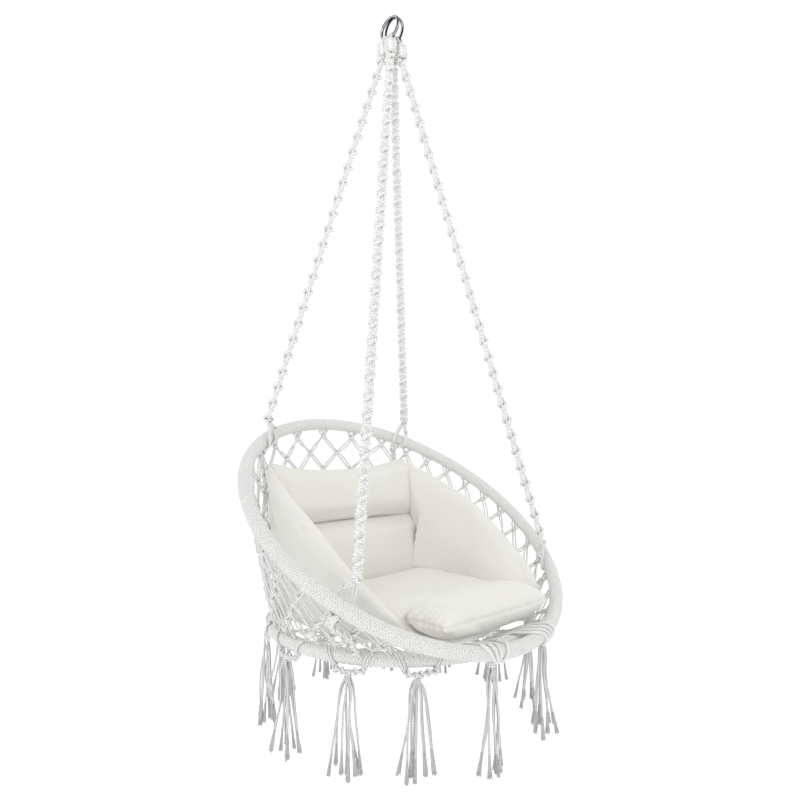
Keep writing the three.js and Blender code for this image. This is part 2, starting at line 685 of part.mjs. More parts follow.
function seatNet() {
  const knots = [];
  const legs = [];
  const rows = [];
  const outer = LOWER_RADIUS - SLEEVE_RADIUS - SEAT_GAP;
  const spoke = (2 * Math.PI) / SEAT_SPOKES;
  const knotAt = (angle, radius, depth) => {
    const east = vec(-Math.sin(angle), Math.cos(angle), 0);
    const out = vec(Math.cos(angle), Math.sin(angle), 0);
    const point = LOWER_CENTRE.clone().addScaledVector(out, radius);
    point.z -= seatDrop(radius);
    const slope = (2 * SEAT_SAG * radius) / LOWER_RADIUS ** 2;
    const normal = vec(-out.x * slope, -out.y * slope, 1).normalize();
    knots.push({ point, normal, east, depth });
    return knots.length - 1;
  };
  let radius = outer * SEAT_SHRINK_SHARE ** (1 / 2);
  for (let row = 0; row < SEAT_ROWS; row += 1) {
    const ring = [];
    for (let i = 0; i < SEAT_SPOKES; i += 1) {
      ring.push(knotAt((i + (row % 2) / 2) * spoke, radius, SEAT_KNOT_DEPTH));
    }
    rows.push(ring);
    radius *= SEAT_SHRINK_SHARE;
  }
  const width = (row) => mix(NET_LEG, NET_LOOP_LEG, row / SEAT_ROWS);
  rows[0].forEach((me, i) => {
    for (const turn of [-1, 1]) {
      const angle = i * spoke + (turn * NET_LOOP_SPREAD) / outer;
      const chord = LOWER_RADIUS * (1 - Math.cos(Math.PI / HOOP_STEPS));
      legs.push({ a: me, b: knotAt(angle, outer - chord, SEAT_KNOT_DEPTH), width: NET_LOOP_LEG });
    }
  });
  for (let row = 1; row < SEAT_ROWS; row += 1) {
    rows[row].forEach((me, i) => {
      const shift = row % 2 === 1 ? [i, i + 1] : [i - 1, i];
      for (const j of shift) {
        legs.push({ a: me, b: rows[row - 1][(j + SEAT_SPOKES) % SEAT_SPOKES], width: width(row) });
      }
    });
  }
  const last = rows[SEAT_ROWS - 1];
  last.forEach((me, i) => legs.push({ a: me, b: last[(i + 1) % SEAT_SPOKES], width: width(SEAT_ROWS) }));
  return thicken(knots, legs);
}
place('seat_net', seatNet(), CORD);

// Ropes, hitches and drop cords
const corners = {
  back_left: [-1, 1],
  back_right: [1, 1],
  front_left: [-1, -1],
  front_right: [1, -1],
};
const hitchLoopHalf = SLEEVE_RADIUS + SEAT_GAP + HITCH_CORD_RADIUS;
for (const [corner, [sideX, sideY]] of Object.entries(corners)) {
  place(`rope_eye_${corner}`, eye(sideX, sideY), CORD);
  place(`rope_wrap_${corner}`, wrap(sideX, sideY), CORD);
  const angle = GRIP_ANGLE[corner];
  const grip = hoopPoint(upper, angle);
  const tangent = hoopFrame(upper, angle).tangent;
  const start = vec(sideX * WRAP_X, sideY * WRAP_Y, WRAP_TOP_Z - WRAP_HEIGHT - SEAT_GAP);
  const rise = start.clone().sub(grip);
  rise.addScaledVector(tangent, -rise.dot(tangent)).normalize();
  const across = tangent.clone().cross(rise);
  // Hitch: one closed loop of cord, drawn to a point above the hoop and knotted below it.
  const steps = 16;
  const loop = [];
  for (let i = 0; i < steps; i += 1) {
    const turn = (2 * Math.PI * i) / steps;
    const up = Math.sin(turn);
    const reach = up > 0 ? Math.max(Math.cos(turn) ** 2 * (1 - up / 4), 0) : Math.cos(turn) ** 2;
    const height = up > 0 ? up ** 2 * (HITCH_RISE - HITCH_CORD_RADIUS) : -(up ** 2) * HITCH_DROP;
    const half = hitchLoopHalf + HITCH_CORD_RADIUS / 2;
    const side = Math.sign(Math.cos(turn)) * half * reach ** (1 / 2);
    loop.push(grip.clone().addScaledVector(across, side).addScaledVector(rise, height));
  }
  place(`rope_hitch_${corner}`, tube(loop, HITCH_CORD_RADIUS, 8, true, tangent), CORD);
  // Rope: straight from the wrap to the hitch's apex.
  const apex = grip.clone().addScaledVector(rise, HITCH_RISE + 2 * SEAT_GAP);
  const along = apex.clone().sub(start).normalize();
  const ropeRing = (centre, level) => {
    const sideways = vec(1, 0, 0).addScaledVector(along, -along.x).normalize();
    const other = along.clone().cross(sideways);
    const outline = [];
    for (let j = 0; j < ROPE_SIDES; j += 1) {
      const turn = (2 * Math.PI * j) / ROPE_SIDES;
      const p = centre.clone().addScaledVector(sideways, ROPE_RADIUS * Math.cos(turn));
      p.addScaledVector(other, ROPE_RADIUS * Math.sin(turn));
      outline.push(level ? p.addScaledVector(along, (start.z - p.z) / along.z) : p);
    }
    return outline;
  };
  place(`hanging_rope_${corner}`, loft([ropeRing(start, true), ropeRing(apex, false)]), CORD);
  // Drop cord: from under the hitch down the outside of the net to the side of the lower hoop.
  const height = wallHeight(angle);
  const below = grip.clone().addScaledVector(rise, -(HITCH_DROP + HITCH_CORD_RADIUS + SEAT_GAP));
  const seat = hoopPoint(lower, angle);
  const near = wallPoint(angle, height - 2 * SLEEVE_RADIUS, -DROP_CORD_OFFSET);
  const toward = seat.clone().sub(near).normalize();
  const stop = seat.clone().addScaledVector(toward, -(SLEEVE_RADIUS + 3 * SEAT_GAP));
  const side1 = below.clone().addScaledVector(rise, -DROP_CORD_RADIUS);
  const side2 = wallPoint(angle, NET_FIRST_KNOT + NET_ROW, -DROP_CORD_OFFSET);
  place(`drop_cord_${corner}`, tube([below, side1, side2, near, stop], DROP_CORD_RADIUS, 8), CORD);
}

// Tassels: a swag caught up at its middle by a knot that the strands hang from.
function tassel(angle, index) {
  const out = vec(Math.cos(angle), Math.sin(angle), 0);
  const along = vec(-Math.sin(angle), Math.cos(angle), 0);
  const below = out.clone().multiplyScalar(Math.sin(Math.PI / 6)).add(vec(0, 0, -Math.cos(Math.PI / 6)));
  const middle = hoopPoint(lower, angle).addScaledVector(below, SLEEVE_RADIUS + SWAG_DROP);
  const arms = [-1, 1].map((turn) => {
    const foot = hoopPoint(lower, angle + (turn * SWAG_HALF_SPAN) / LOWER_RADIUS);
    const top = foot.clone().addScaledVector(below, SLEEVE_RADIUS + SEAT_GAP);
    const hang = foot.clone().addScaledVector(below, SLEEVE_RADIUS + 2 * SWAG_CORD_RADIUS);
    return tube([top, hang, middle], SWAG_CORD_RADIUS, 4, false, out);
  });
  const knotRow = (share, drop) => {
    const outline = [];
    for (let j = 0; j < 6; j += 1) {
      const turn = (2 * Math.PI * j) / 6;
      const p = middle.clone().addScaledVector(out, TASSEL_KNOT_RADIUS * share * Math.cos(turn));
      p.addScaledVector(along, TASSEL_KNOT_RADIUS * share * Math.sin(turn));
      p.z -= drop - SWAG_CORD_RADIUS;
      outline.push(p);
    }
    return outline;
  };
  const waistShare = 0.7;
  const knot = loft([
    knotRow(waistShare, 0),
    knotRow(1, TASSEL_KNOT_HEIGHT / 3),
    knotRow(1, (2 * TASSEL_KNOT_HEIGHT) / 3),
    knotRow(waistShare, TASSEL_KNOT_HEIGHT),
  ]);
  const strands = [];
  for (let i = 0; i < STRAND_COUNT; i += 1) {
    const core = i === STRAND_COUNT - 1;
    const turn = (2 * Math.PI * (i + index / 3)) / (STRAND_COUNT - 1);
    const reach = core ? 0 : 1;
    const dir = out.clone().multiplyScalar(Math.cos(turn)).addScaledVector(along, Math.sin(turn));
    const high = middle.clone().addScaledVector(dir, (TASSEL_KNOT_RADIUS * reach) / 2);
    high.z -= TASSEL_KNOT_HEIGHT / 2;
    const low = middle.clone().addScaledVector(dir, TASSEL_SPREAD * reach);
    const trim = (STRAND_RADIUS * ((i * 5 + index * 3) % 7)) / 3;
    low.z -= TASSEL_LENGTH - trim;
    strands.push(tube([high, low], [STRAND_RADIUS, STRAND_RADIUS * 1.2], 3, false, dir));
  }
  return joined([knot, ...arms, ...strands]);
}
for (let i = 0; i < TASSEL_COUNT; i += 1) {
  const name = `tassel_${String(i + 1).padStart(2, '0')}`;
  place(name, tassel(TASSEL_PHASE + (2 * Math.PI * i) / TASSEL_COUNT, i), CORD);
}

// Bucket cushion
// Y of the wall's inner side at a given x and height, at the back of the seat.
function backWallY(x, z) {
  let angle = Math.PI / 2;
  let share = 0;
  for (let i = 0; i < 12; i += 1) {
    const top = hoopPoint(upper, angle);
    const foot = hoopPoint(lower, angle);
    share = clamp((top.z - z) / (top.z - foot.z), 0, 1);
    angle = Math.acos(clamp(x / mix(UPPER_RADIUS, LOWER_RADIUS, share), -1, 1));
  }
  return hoopPoint(upper, angle).lerp(hoopPoint(lower, angle), share).y;
}

function backOuterY(x, z) {
  const baseRadius = LOWER_RADIUS - CUSHION_BASE_INSET;
  const base = LOWER_CENTRE.y + Math.sqrt(Math.max(baseRadius ** 2 - x ** 2, 0));
  const share = clamp((z - CUSHION_BASE_Z) / (ROLL_SEAM_Z - CUSHION_BASE_Z), 0, 1);
  return mix(base, backWallY(x, z) - CUSHION_NET_GAP, Math.sqrt(share));
}

function backInnerY(x, z) {
  const share = (z - BACK_FOOT_Z) / (BACK_HEAD_Z - BACK_FOOT_Z);
  const line = mix(BACK_FOOT_Y, BACK_HEAD_Y, Math.max(share, 0));
  return line - BACK_CURVE * Math.max(share, 0) * (x / SEAT_HALF_WIDTH) ** 2;
}

// One padded roll across the back, as sections at steps of x.
function backRoll(bottomAt, topAt) {
  const stations = 10;
  const outlines = [];
  for (let i = 0; i <= stations; i += 1) {
    const x = mix(-SEAT_HALF_WIDTH, SEAT_HALF_WIDTH, i / stations);
    const low = bottomAt(x);
    const high = topAt(x);
    const outline = [];
    const per = 4;
    const edgeZ = Math.min(ROLL_EDGE, (high - low) / 3);
    const mid = (high + low) / 2;
    const thick = backOuterY(x, mid) - backInnerY(x, mid);
    const edgeY = Math.min(ROLL_EDGE, thick / 3);
    for (const [zs, ys, from] of [[-1, -1, 3], [1, -1, 2], [1, 1, 1], [-1, 1, 0]]) {
      for (let k = 0; k < per; k += 1) {
        const turn = (Math.PI / 2) * (k / (per - 1));
        const a = from % 2 === 0 ? Math.sin(turn) : Math.cos(turn);
        const b = from % 2 === 0 ? Math.cos(turn) : Math.sin(turn);
        const z = zs < 0 ? low + edgeZ * (1 - a) : high - edgeZ * (1 - a);
        const swell = ROLL_BULGE * (1 - ((z - mid) / ((high - low) / 2)) ** 2);
        const inner = backInnerY(x, z) - (ys < 0 ? swell : 0);
        const y = ys < 0 ? inner + edgeY * (1 - b) : backOuterY(x, z) - edgeY * (1 - b);
        outline.push(vec(x, y, z));
      }
    }
    outlines.push(outline);
  }
  return loft(outlines);
}
const rollTop = (x) => BACK_HEAD_Z + BACK_TOP_RISE * (x / SEAT_HALF_WIDTH) ** 2;
place('back_roll_lower', backRoll(() => CUSHION_BASE_Z, () => ROLL_SEAM_Z - SEAT_GAP / 2), CLOTH);
place('back_roll_upper', backRoll(() => ROLL_SEAM_Z + SEAT_GAP / 2, rollTop), CLOTH);

// Crest of a wing, from the back corner (share 0) to its front end (share 1).
function crestPoint(share) {
  const y = mix(CREST_BACK_Y, CREST_FRONT_Y, share);
  const back = Math.max(y - CREST_WIDEST_Y, 0) / (CREST_BACK_Y - CREST_WIDEST_Y);
  const front = Math.max(CREST_WIDEST_Y - y, 0) / (CREST_WIDEST_Y - CREST_FRONT_Y);
  const x = CREST_HALF_WIDTH - CREST_BACK_TUCK * back ** 2 - CREST_FRONT_TUCK * front ** 2;
  const plane = UPPER_CENTRE_Z + (y - UPPER_CENTRE_Y) * Math.tan(UPPER_TILT);
  const z = plane + CREST_PLANE_RISE - CREST_BACK_DIP * back ** (5 / 4) - CREST_FRONT_DIP * front ** 2;
  return vec(x, y, z);
}

// Wing: stands up from the base of the bucket to its crest and thins towards it, with rounded edges.
function wing(side) {
  const stations = 13;
  const outlines = [];
  for (let i = 0; i <= stations; i += 1) {
    const share = i / stations;
    const angle = mix(WING_BACK_ANGLE, WING_FRONT_ANGLE, share);
    const baseRadius = LOWER_RADIUS - CUSHION_BASE_INSET;
    const out = vec(Math.cos(angle), Math.sin(angle), 0);
    const base = LOWER_CENTRE.clone().addScaledVector(out, baseRadius).setZ(CUSHION_BASE_Z);
    const top = crestPoint(share).addScaledVector(out, WING_TOP_THICKNESS / 2);
    const lean = top.sub(base);
    const tall = lean.length();
    const upward = lean.clone().normalize();
    const inward = out.clone().negate();
    inward.addScaledVector(upward, -inward.dot(upward)).normalize();
    const fullness = i === stations ? WING_END_SHARE : 1;
    const wide = WING_THICKNESS * fullness;
    const narrow = WING_TOP_THICKNESS * fullness;
    const finish = (WING_THICKNESS - wide) / 2;
    const outline = [];
    const add = (u, v) => outline.push(base.clone().addScaledVector(inward, finish + u).addScaledVector(upward, v));
    const [foot, head] = [wide * WING_EDGE_SHARE, narrow * WING_EDGE_SHARE];
    const lift = tall - finish;
    const rounds = [
      { u: wide - foot, v: foot, radius: foot, from: 270 },
      { u: narrow - head, v: lift - head, radius: head, from: 0 },
      { u: head, v: lift - head, radius: head, from: 90 },
      { u: foot, v: foot, radius: foot, from: 180 },
    ];
    for (const { u, v, radius, from } of rounds) {
      for (let k = 0; k < 4; k += 1) {
        const turn = THREE.MathUtils.degToRad(from + 30 * k);
        add(u + radius * Math.cos(turn), v + radius * Math.sin(turn));
      }
      if (from === 270) add((wide + narrow) / 2 + WING_BULGE, tall / 2);
    }
    outlines.push(outline.map((p) => vec(side * p.x, p.y, p.z)));
  }
  return loft(outlines);
}

// Seat pad: crowned top, rounded edge and a belly that lies on the seat net.
function padOutline(grow, count = 40) {
  const outline = [];
  const half = SEAT_HALF_WIDTH + grow;
  const front = SEAT_FRONT_RADIUS + grow;
  for (let i = 0; i < count; i += 1) {
    const turn = (2 * Math.PI * i) / count;
    const d = new THREE.Vector2(Math.cos(turn), Math.sin(turn));
    let reach = front;
    reach = Math.min(reach, half / Math.max(Math.abs(d.x), 0.001));
    if (d.y > 0) reach = Math.min(reach, (SEAT_BACK_Y + grow - LOWER_CENTRE.y) / d.y);
    else {
      const shares = (Math.abs(d.x) / half) ** SEAT_FRONT_POWER + (Math.abs(d.y) / front) ** SEAT_FRONT_POWER;
      reach = shares ** (-1 / SEAT_FRONT_POWER);
    }
    outline.push(d.multiplyScalar(reach));
  }
  return outline;
}

function seatBottomZ(x, y) {
  const radius = Math.hypot(x, y - LOWER_CENTRE.y);
  return LOWER_CENTRE.z - seatDrop(radius) + SEAT_KNOT_DEPTH / 2 + 2 * SEAT_GAP;
}

function seatPad(grow = 0) {
  const outline = padOutline(grow);
  const row = (inset, zAt) => outline.map((d) => {
    const length = d.length();
    const p = d.clone().multiplyScalar(Math.max(length - inset, 0) / length);
    const y = LOWER_CENTRE.y + p.y;
    return vec(p.x, y, zAt(p.x, y));
  });
  const flat = (z) => () => z;
  const middle = (SEAT_TOP_Z + CUSHION_BASE_Z) / 2;
  const rows = [
    row(SEAT_FRONT_RADIUS / 2, seatBottomZ),
    row(SEAT_EDGE, (x, y) => Math.max(seatBottomZ(x, y), CUSHION_BASE_Z - SEAT_EDGE / 4)),
    row(SEAT_EDGE / 8, flat(CUSHION_BASE_Z + SEAT_EDGE / 3)),
    row(0, flat(middle)),
    row(SEAT_EDGE / 6, flat(SEAT_TOP_Z - SEAT_EDGE / 3)),
    row(SEAT_EDGE / 1.4, flat(SEAT_TOP_Z)),
    row(SEAT_FRONT_RADIUS / 3, flat(SEAT_TOP_Z + SEAT_CROWN)),
  ];
  return loft(rows);
}

// Front pillow: a plump cushion with tucked corners, pressed a little into the seat's front.
function pillow(grow = 0) {
  const centre = vec(PILLOW_X, PILLOW_Y, SEAT_TOP_Z - PILLOW_SINK + PILLOW_HEIGHT / 2);
  const columns = 14;
  const ringCount = 12;
  const outlines = [];
  for (let i = 0; i <= columns; i += 1) {
    const u = -Math.cos((Math.PI * i) / columns);
    const x = (PILLOW_LENGTH / 2 + grow) * Math.sign(u) * Math.abs(u) ** 0.9;
    const fill = Math.max(1 - Math.abs(u) ** 4, 0.02) ** 0.5;
    const outline = [];
    for (let j = 0; j < ringCount; j += 1) {
      const turn = (2 * Math.PI * j) / ringCount;
      const c = Math.cos(turn);
      const s = Math.sin(turn);
      const wide = (PILLOW_DEPTH / 2 + grow) * mix(1 - PILLOW_TUCK_SHARE, 1, fill);
      const y = wide * Math.sign(c) * Math.abs(c) ** 0.7;
      const z = (PILLOW_HEIGHT / 2 + grow) * Math.sign(s) * Math.abs(s) ** 0.9 * fill;
      outline.push(vec(x, y, z).add(centre));
    }
    outlines.push(outline);
  }
  return loft(outlines);
}
place('front_pillow', pillow(), CLOTH);
const pillowRoom = pillow(2 * SEAT_GAP);
place('seat_pad', cut(seatPad(), pillowRoom), CLOTH);

const seatRoom = seatPad(2 * SEAT_GAP);
const backRoomRow = (y) => {
  const half = SEAT_HALF_WIDTH + SEAT_GAP;
  const low = CUSHION_BASE_Z - SLEEVE_RADIUS;
  const high = UPPER_CENTRE.z + UPPER_RADIUS;
  return [vec(-half, y, low), vec(half, y, low), vec(half, y, high), vec(-half, y, high)];
};
const backRoom = loft([backRoomRow(SEAT_BACK_Y), backRoomRow(UPPER_RADIUS)]);
place('wing_left', cut(wing(-1), seatRoom, backRoom, pillowRoom), CLOTH);
place('wing_right', cut(wing(1), seatRoom, backRoom, pillowRoom), CLOTH);

export default chair;
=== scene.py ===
import bpy
import numpy as np
from mathutils import Matrix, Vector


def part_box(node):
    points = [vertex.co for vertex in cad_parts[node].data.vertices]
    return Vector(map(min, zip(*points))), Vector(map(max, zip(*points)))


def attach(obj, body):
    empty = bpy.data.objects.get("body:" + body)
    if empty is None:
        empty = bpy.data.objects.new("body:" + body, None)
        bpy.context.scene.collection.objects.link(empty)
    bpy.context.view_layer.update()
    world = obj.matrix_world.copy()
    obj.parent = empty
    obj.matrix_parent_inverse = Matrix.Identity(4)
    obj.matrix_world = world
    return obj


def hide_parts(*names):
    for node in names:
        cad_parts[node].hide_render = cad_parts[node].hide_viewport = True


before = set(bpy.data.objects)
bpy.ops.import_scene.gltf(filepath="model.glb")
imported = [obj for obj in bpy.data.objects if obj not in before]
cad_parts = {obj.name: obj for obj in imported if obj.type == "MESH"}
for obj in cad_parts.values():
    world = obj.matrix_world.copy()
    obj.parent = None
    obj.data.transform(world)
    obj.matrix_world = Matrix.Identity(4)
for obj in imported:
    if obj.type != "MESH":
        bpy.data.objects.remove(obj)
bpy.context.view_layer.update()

# Camera and studio light
# The chair is seen from its front left corner, a little from below. It hangs clear of a plain white floor in
# a white studio, with a broad lamp in front and a weaker one behind. Dark flags stand all round at eye height
# and give the cords' sides their shade, and the ceiling is a little dimmer. The camera sees plain white.
CAMERA_TURN = np.radians(-44.5)
CAMERA_DROP = np.radians(-3.1)
CAMERA_REACH = 1.6
CAMERA_SIDE, CAMERA_HEIGHT = 0.0198, -0.9414
FOCAL_SHARE = 667.7 / 800
SENSOR = 36
OPEN_LIGHT, FLAG_LIGHT, BACKDROP_LIGHT = 1.26, 0.4, 1.04
FLAG_LOW, FLAG_HIGH = 0.04, 0.2
FLAG_COUNT, FLAG_START = 5, 0.9
CEILING_SHADE = 0.28
LAMP_AIM = (0, 0, -1.2)


def unit(v):
    """Vectors along the last axis, each divided by its length."""
    return v / np.linalg.norm(v, axis=-1, keepdims=True)


def stood(right, up, back, place):
    """The matrix of something that stands at a place and whose right, up and back point the given ways."""
    matrix = np.eye(4)
    matrix[:3] = np.stack([right, up, back, place], -1)
    return Matrix(matrix.tolist())


backwards = np.array([
    np.sin(CAMERA_TURN) * np.cos(CAMERA_DROP),
    -np.cos(CAMERA_TURN) * np.cos(CAMERA_DROP),
    np.sin(CAMERA_DROP)])
rightwards = np.array([np.cos(CAMERA_TURN), np.sin(CAMERA_TURN), 0])
lens = bpy.data.cameras.new("camera")
lens.sensor_width, lens.lens, lens.clip_end = SENSOR, SENSOR * FOCAL_SHARE, 60
camera = bpy.data.objects.new("camera", lens)
camera.matrix_world = stood(
    rightwards, np.cross(backwards, rightwards), backwards,
    rightwards * CAMERA_SIDE + [0, 0, CAMERA_HEIGHT] + backwards * CAMERA_REACH)
bpy.context.scene.collection.objects.link(camera)
bpy.context.scene.camera = camera


class Value:
    """A number on its way through a node tree. Each operator used on it adds one Math node."""

    def __init__(self, nodes, socket):
        self.nodes, self.socket = nodes, socket

    def __add__(self, other):
        return self.nodes.maths("ADD", self, other)

    def __sub__(self, other):
        return self.nodes.maths("SUBTRACT", self, other)

    def __rsub__(self, other):
        return self.nodes.maths("SUBTRACT", other, self)

    def __mul__(self, other):
        return self.nodes.maths("MULTIPLY", self, other)

    __radd__, __rmul__ = __add__, __mul__

    def sine(self):
        return self.nodes.maths("SINE", self)

    def size(self):
        return self.nodes.maths("ABSOLUTE", self)

    def between(self, low, high, interpolation="SMOOTHSTEP"):
        """0 below low, 1 above high and a step from one to the other."""
        return self.nodes.node(
            "MapRange", {"Value": self, "From Min": low, "From Max": high}, interpolation_type=interpolation)


class Nodes:
    """A node tree, to which nodes are added one after the other."""

    def __init__(self, tree):
        self.tree = tree

    def node(self, kind, inputs, output=0, stops=(), **settings):
        """Adds a node with its settings, then feeds its sockets with numbers or with other nodes' values."""
        made = self.tree.nodes.new("ShaderNode" + kind)
        for setting, value in settings.items():
            setattr(made, setting, value)
        for i, (at, colour) in enumerate(stops):
            stop = made.color_ramp.elements[i] if i < 2 else made.color_ramp.elements.new(at)
            stop.position, stop.color = at, (*colour, 1)
        for socket, value in inputs.items():
            self.feed(made.inputs[socket], value)
        return Value(self, made.outputs[output])

    def feed(self, socket, value):
        """Links a value to a socket, or sets the socket to a number."""
        if isinstance(value, Value):
            self.tree.links.new(value.socket, socket)
        else:
            socket.default_value = value

    def maths(self, operation, *values):
        """Adds a Math node that works on one or two values."""
        return self.node("Math", dict(enumerate(values)), operation=operation)


studio = bpy.data.worlds.new("studio")
studio.use_nodes = True
sky = Nodes(studio.node_tree)
where = sky.node("TexCoord", {}, "Generated")
east, north, height = (sky.node("SeparateXYZ", {"Vector": where}, way) for way in "XYZ")
compass = sky.maths("ARCTAN2", north, east)
flags = (compass * FLAG_COUNT + FLAG_START).sine().between(-0.3, 0.1, "LINEAR")
flags = flags * (1 - height.size().between(FLAG_LOW, FLAG_HIGH))
light = OPEN_LIGHT - (OPEN_LIGHT - FLAG_LIGHT) * flags
light = light * (1 - CEILING_SHADE * height.between(0.25, 0.9))
light = light + sky.node("LightPath", {}, "Is Camera Ray") * (BACKDROP_LIGHT - light)
background = studio.node_tree.nodes["Background"]
background.inputs["Color"].default_value = (1, 1, 1, 1)
sky.feed(background.inputs["Strength"], light)
bpy.context.scene.world = studio
bpy.context.scene.view_settings.view_transform = "Standard"
for name, spot, width, watts in [
    ("lamp_front", (-2.4, -1.4, 1.2), 1.6, 11),
    ("lamp_back", (2.6, 1.6, 0.6), 2.0, 5),
]:
    lamp = bpy.data.lights.new(name, "AREA")
    lamp.size, lamp.energy = width, watts
    holder = bpy.data.objects.new(name, lamp)
    back = unit(np.array(spot) - LAMP_AIM)
    right = unit(np.cross((0, 0, 1), back))
    holder.matrix_world = stood(right, np.cross(back, right), back, spot)
    bpy.context.scene.collection.objects.link(holder)

# Rings
# Two round steel rings that the hook passes through, side by side and leaning apart below it. They are bent
# from 7 mm wire, welded, ground and chromed. The plain studio gives chrome little to mirror, so its light and
# dark streaks are drawn in its colour.
RING_RADIUS = 0.029
RING_WIRE = 0.0035
RING_LEAN = np.radians(7.4)
RING_GAP = 0.0003
RING_X = RING_WIRE + RING_GAP / 2 + RING_RADIUS * np.sin(RING_LEAN)
RING_Z = -0.025259


class Finish(Nodes):
    """A material on one principled shader, whose fixed numbers are the same all over the surface."""

    def __init__(self, name, **fixed):
        self.material = bpy.data.materials.new(name)
        self.material.use_nodes = True
        super().__init__(self.material.node_tree)
        self.shader = self.tree.nodes["Principled BSDF"]
        self.looks(**fixed)

    def looks(self, **inputs):
        """Feeds the shader's sockets. A name's underlines stand for the blanks in the socket's name."""
        for socket, value in inputs.items():
            self.feed(self.shader.inputs[socket.replace("_", " ")], value)

    def noise(self, scale, detail=2, where=None):
        """Soft noise with features about one part in scale of a metre, on the piece's own place."""
        where = where or self.node("TexCoord", {}, "Object")
        return self.node("TexNoise", {"Vector": where, "Scale": scale, "Detail": detail})

    def lay(self):
        """How far round and how far along a cord or hoop a point is, as two values."""
        both = self.node("UVMap", {}, uv_map="lay")
        return tuple(self.node("SeparateXYZ", {"Vector": both}, way) for way in "XY")

    def relief(self, height, depth):
        """The normal of a surface that stands depth metres proud where height is 1."""
        return self.node("Bump", {"Height": height, "Distance": depth})


def rounds(along, sides, closed=False):
    """Faces of tubes whose points stand in rings, cord after cord, ring after ring and side after side.

    Along is each ring's distance along its cord in metres, once more for the first ring where the tube is
    closed. Each corner's lay is its share of the way round and its distance along. An open tube has a flat
    cap at both ends.
    """
    cords, rings = along.shape[0], along.shape[1] - closed
    c, i, j = np.meshgrid(np.arange(cords), np.arange(along.shape[1] - 1), np.arange(sides), indexing="ij")
    quads, lay = [], []
    for across, onward in ((0, 0), (1, 0), (1, 1), (0, 1)):
        quads.append((c * rings + (i + onward) % rings) * sides + (j + across) % sides)
        lay.append(np.stack([(j + across) / sides, along[c, i + onward]], -1))
    blocks = [(np.stack(quads, -1).reshape(-1, 4), np.stack(lay, -2).reshape(-1, 4, 2))]
    if not closed:
        first = np.arange(cords)[:, None] * rings * sides + np.arange(sides)
        caps = np.concatenate([first[:, ::-1], first + (rings - 1) * sides])
        blocks.append((caps, np.zeros((*caps.shape, 2))))
    return blocks


def carry(paths, radius, toward, sides=8, closed=False, paint=0):
    """Round cords carried along paths, an array of cords by points by 3, as (points, faces, paint).

    A ring of points stands across each path point at the given radius, which may vary by cord, point and
    side. The first point of a ring looks toward the given way.
    """
    paths = np.asarray(paths, float)
    cords, stations = paths.shape[:2]
    if closed:
        tangent = unit(np.roll(paths, -1, 1) - np.roll(paths, 1, 1))
        steps = np.linalg.norm(np.roll(paths, -1, 1) - paths, axis=-1)
    else:
        tangent = unit(np.gradient(paths, axis=1))
        steps = np.linalg.norm(np.diff(paths, axis=1), axis=-1)
    toward = np.broadcast_to(toward, paths.shape)
    near = unit(toward - (toward * tangent).sum(-1, keepdims=True) * tangent)
    far = np.cross(tangent, near)
    turn = 2 * np.pi * np.arange(sides) / sides
    reach = np.broadcast_to(radius, (cords, stations, sides))[..., None]
    ring = near[:, :, None] * np.cos(turn)[:, None] + far[:, :, None] * np.sin(turn)[:, None]
    points = (paths[:, :, None] + reach * ring).reshape(-1, 3)
    along = np.concatenate([np.zeros((cords, 1)), np.cumsum(steps, 1)], 1)
    return points, rounds(along, sides, closed), paint


def piece(name, parts, body, finishes, slot, *nodes):
    """One smooth-shaded mesh of several parts that rides on a body and stands for the given nodes.

    A part's paint says which of the finishes it has.
    """
    points, corners, totals, lays, paints, base = [], [], [], [], [], 0
    for part_points, blocks, paint in parts:
        for faces, lay in blocks:
            corners.append((faces + base).ravel())
            totals.append(np.full(len(faces), faces.shape[1]))
            lays.append(lay.reshape(-1, 2))
            paints.append(np.full(len(faces), paint))
        points.append(part_points)
        base += len(part_points)
    corners, totals = np.concatenate(corners), np.concatenate(totals)
    mesh = bpy.data.meshes.new(name)
    mesh.vertices.add(base)
    mesh.vertices.foreach_set("co", np.concatenate(points).ravel().astype(np.float32))
    mesh.loops.add(len(corners))
    mesh.loops.foreach_set("vertex_index", corners.astype(np.int32))
    mesh.polygons.add(len(totals))
    mesh.polygons.foreach_set("loop_start", (np.cumsum(totals) - totals).astype(np.int32))
    mesh.polygons.foreach_set("loop_total", totals.astype(np.int32))
    mesh.polygons.foreach_set("material_index", np.concatenate(paints).astype(np.int32))
    mesh.polygons.foreach_set("use_smooth", np.ones(len(totals), bool))
    mesh.uv_layers.new(name="lay").data.foreach_set("uv", np.concatenate(lays).ravel().astype(np.float32))
    mesh.update(calc_edges=True)
    mesh.validate()
    for finish in finishes:
        mesh.materials.append(finish.material)
    made = bpy.data.objects.new(name, mesh)
    bpy.context.scene.collection.objects.link(made)
    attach(made, body)
    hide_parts(*nodes)


def ring_point(side, turn):
    """A point of a ring's wire, turn radians round from its lowest point."""
    lowest = np.array([side * np.sin(RING_LEAN), 0, -np.cos(RING_LEAN)])
    turn = np.asarray(turn)[..., None]
    centre = np.array([side * RING_X, 0, RING_Z])
    return centre + RING_RADIUS * (np.cos(turn) * lowest + np.sin(turn) * np.array([0, 1, 0]))


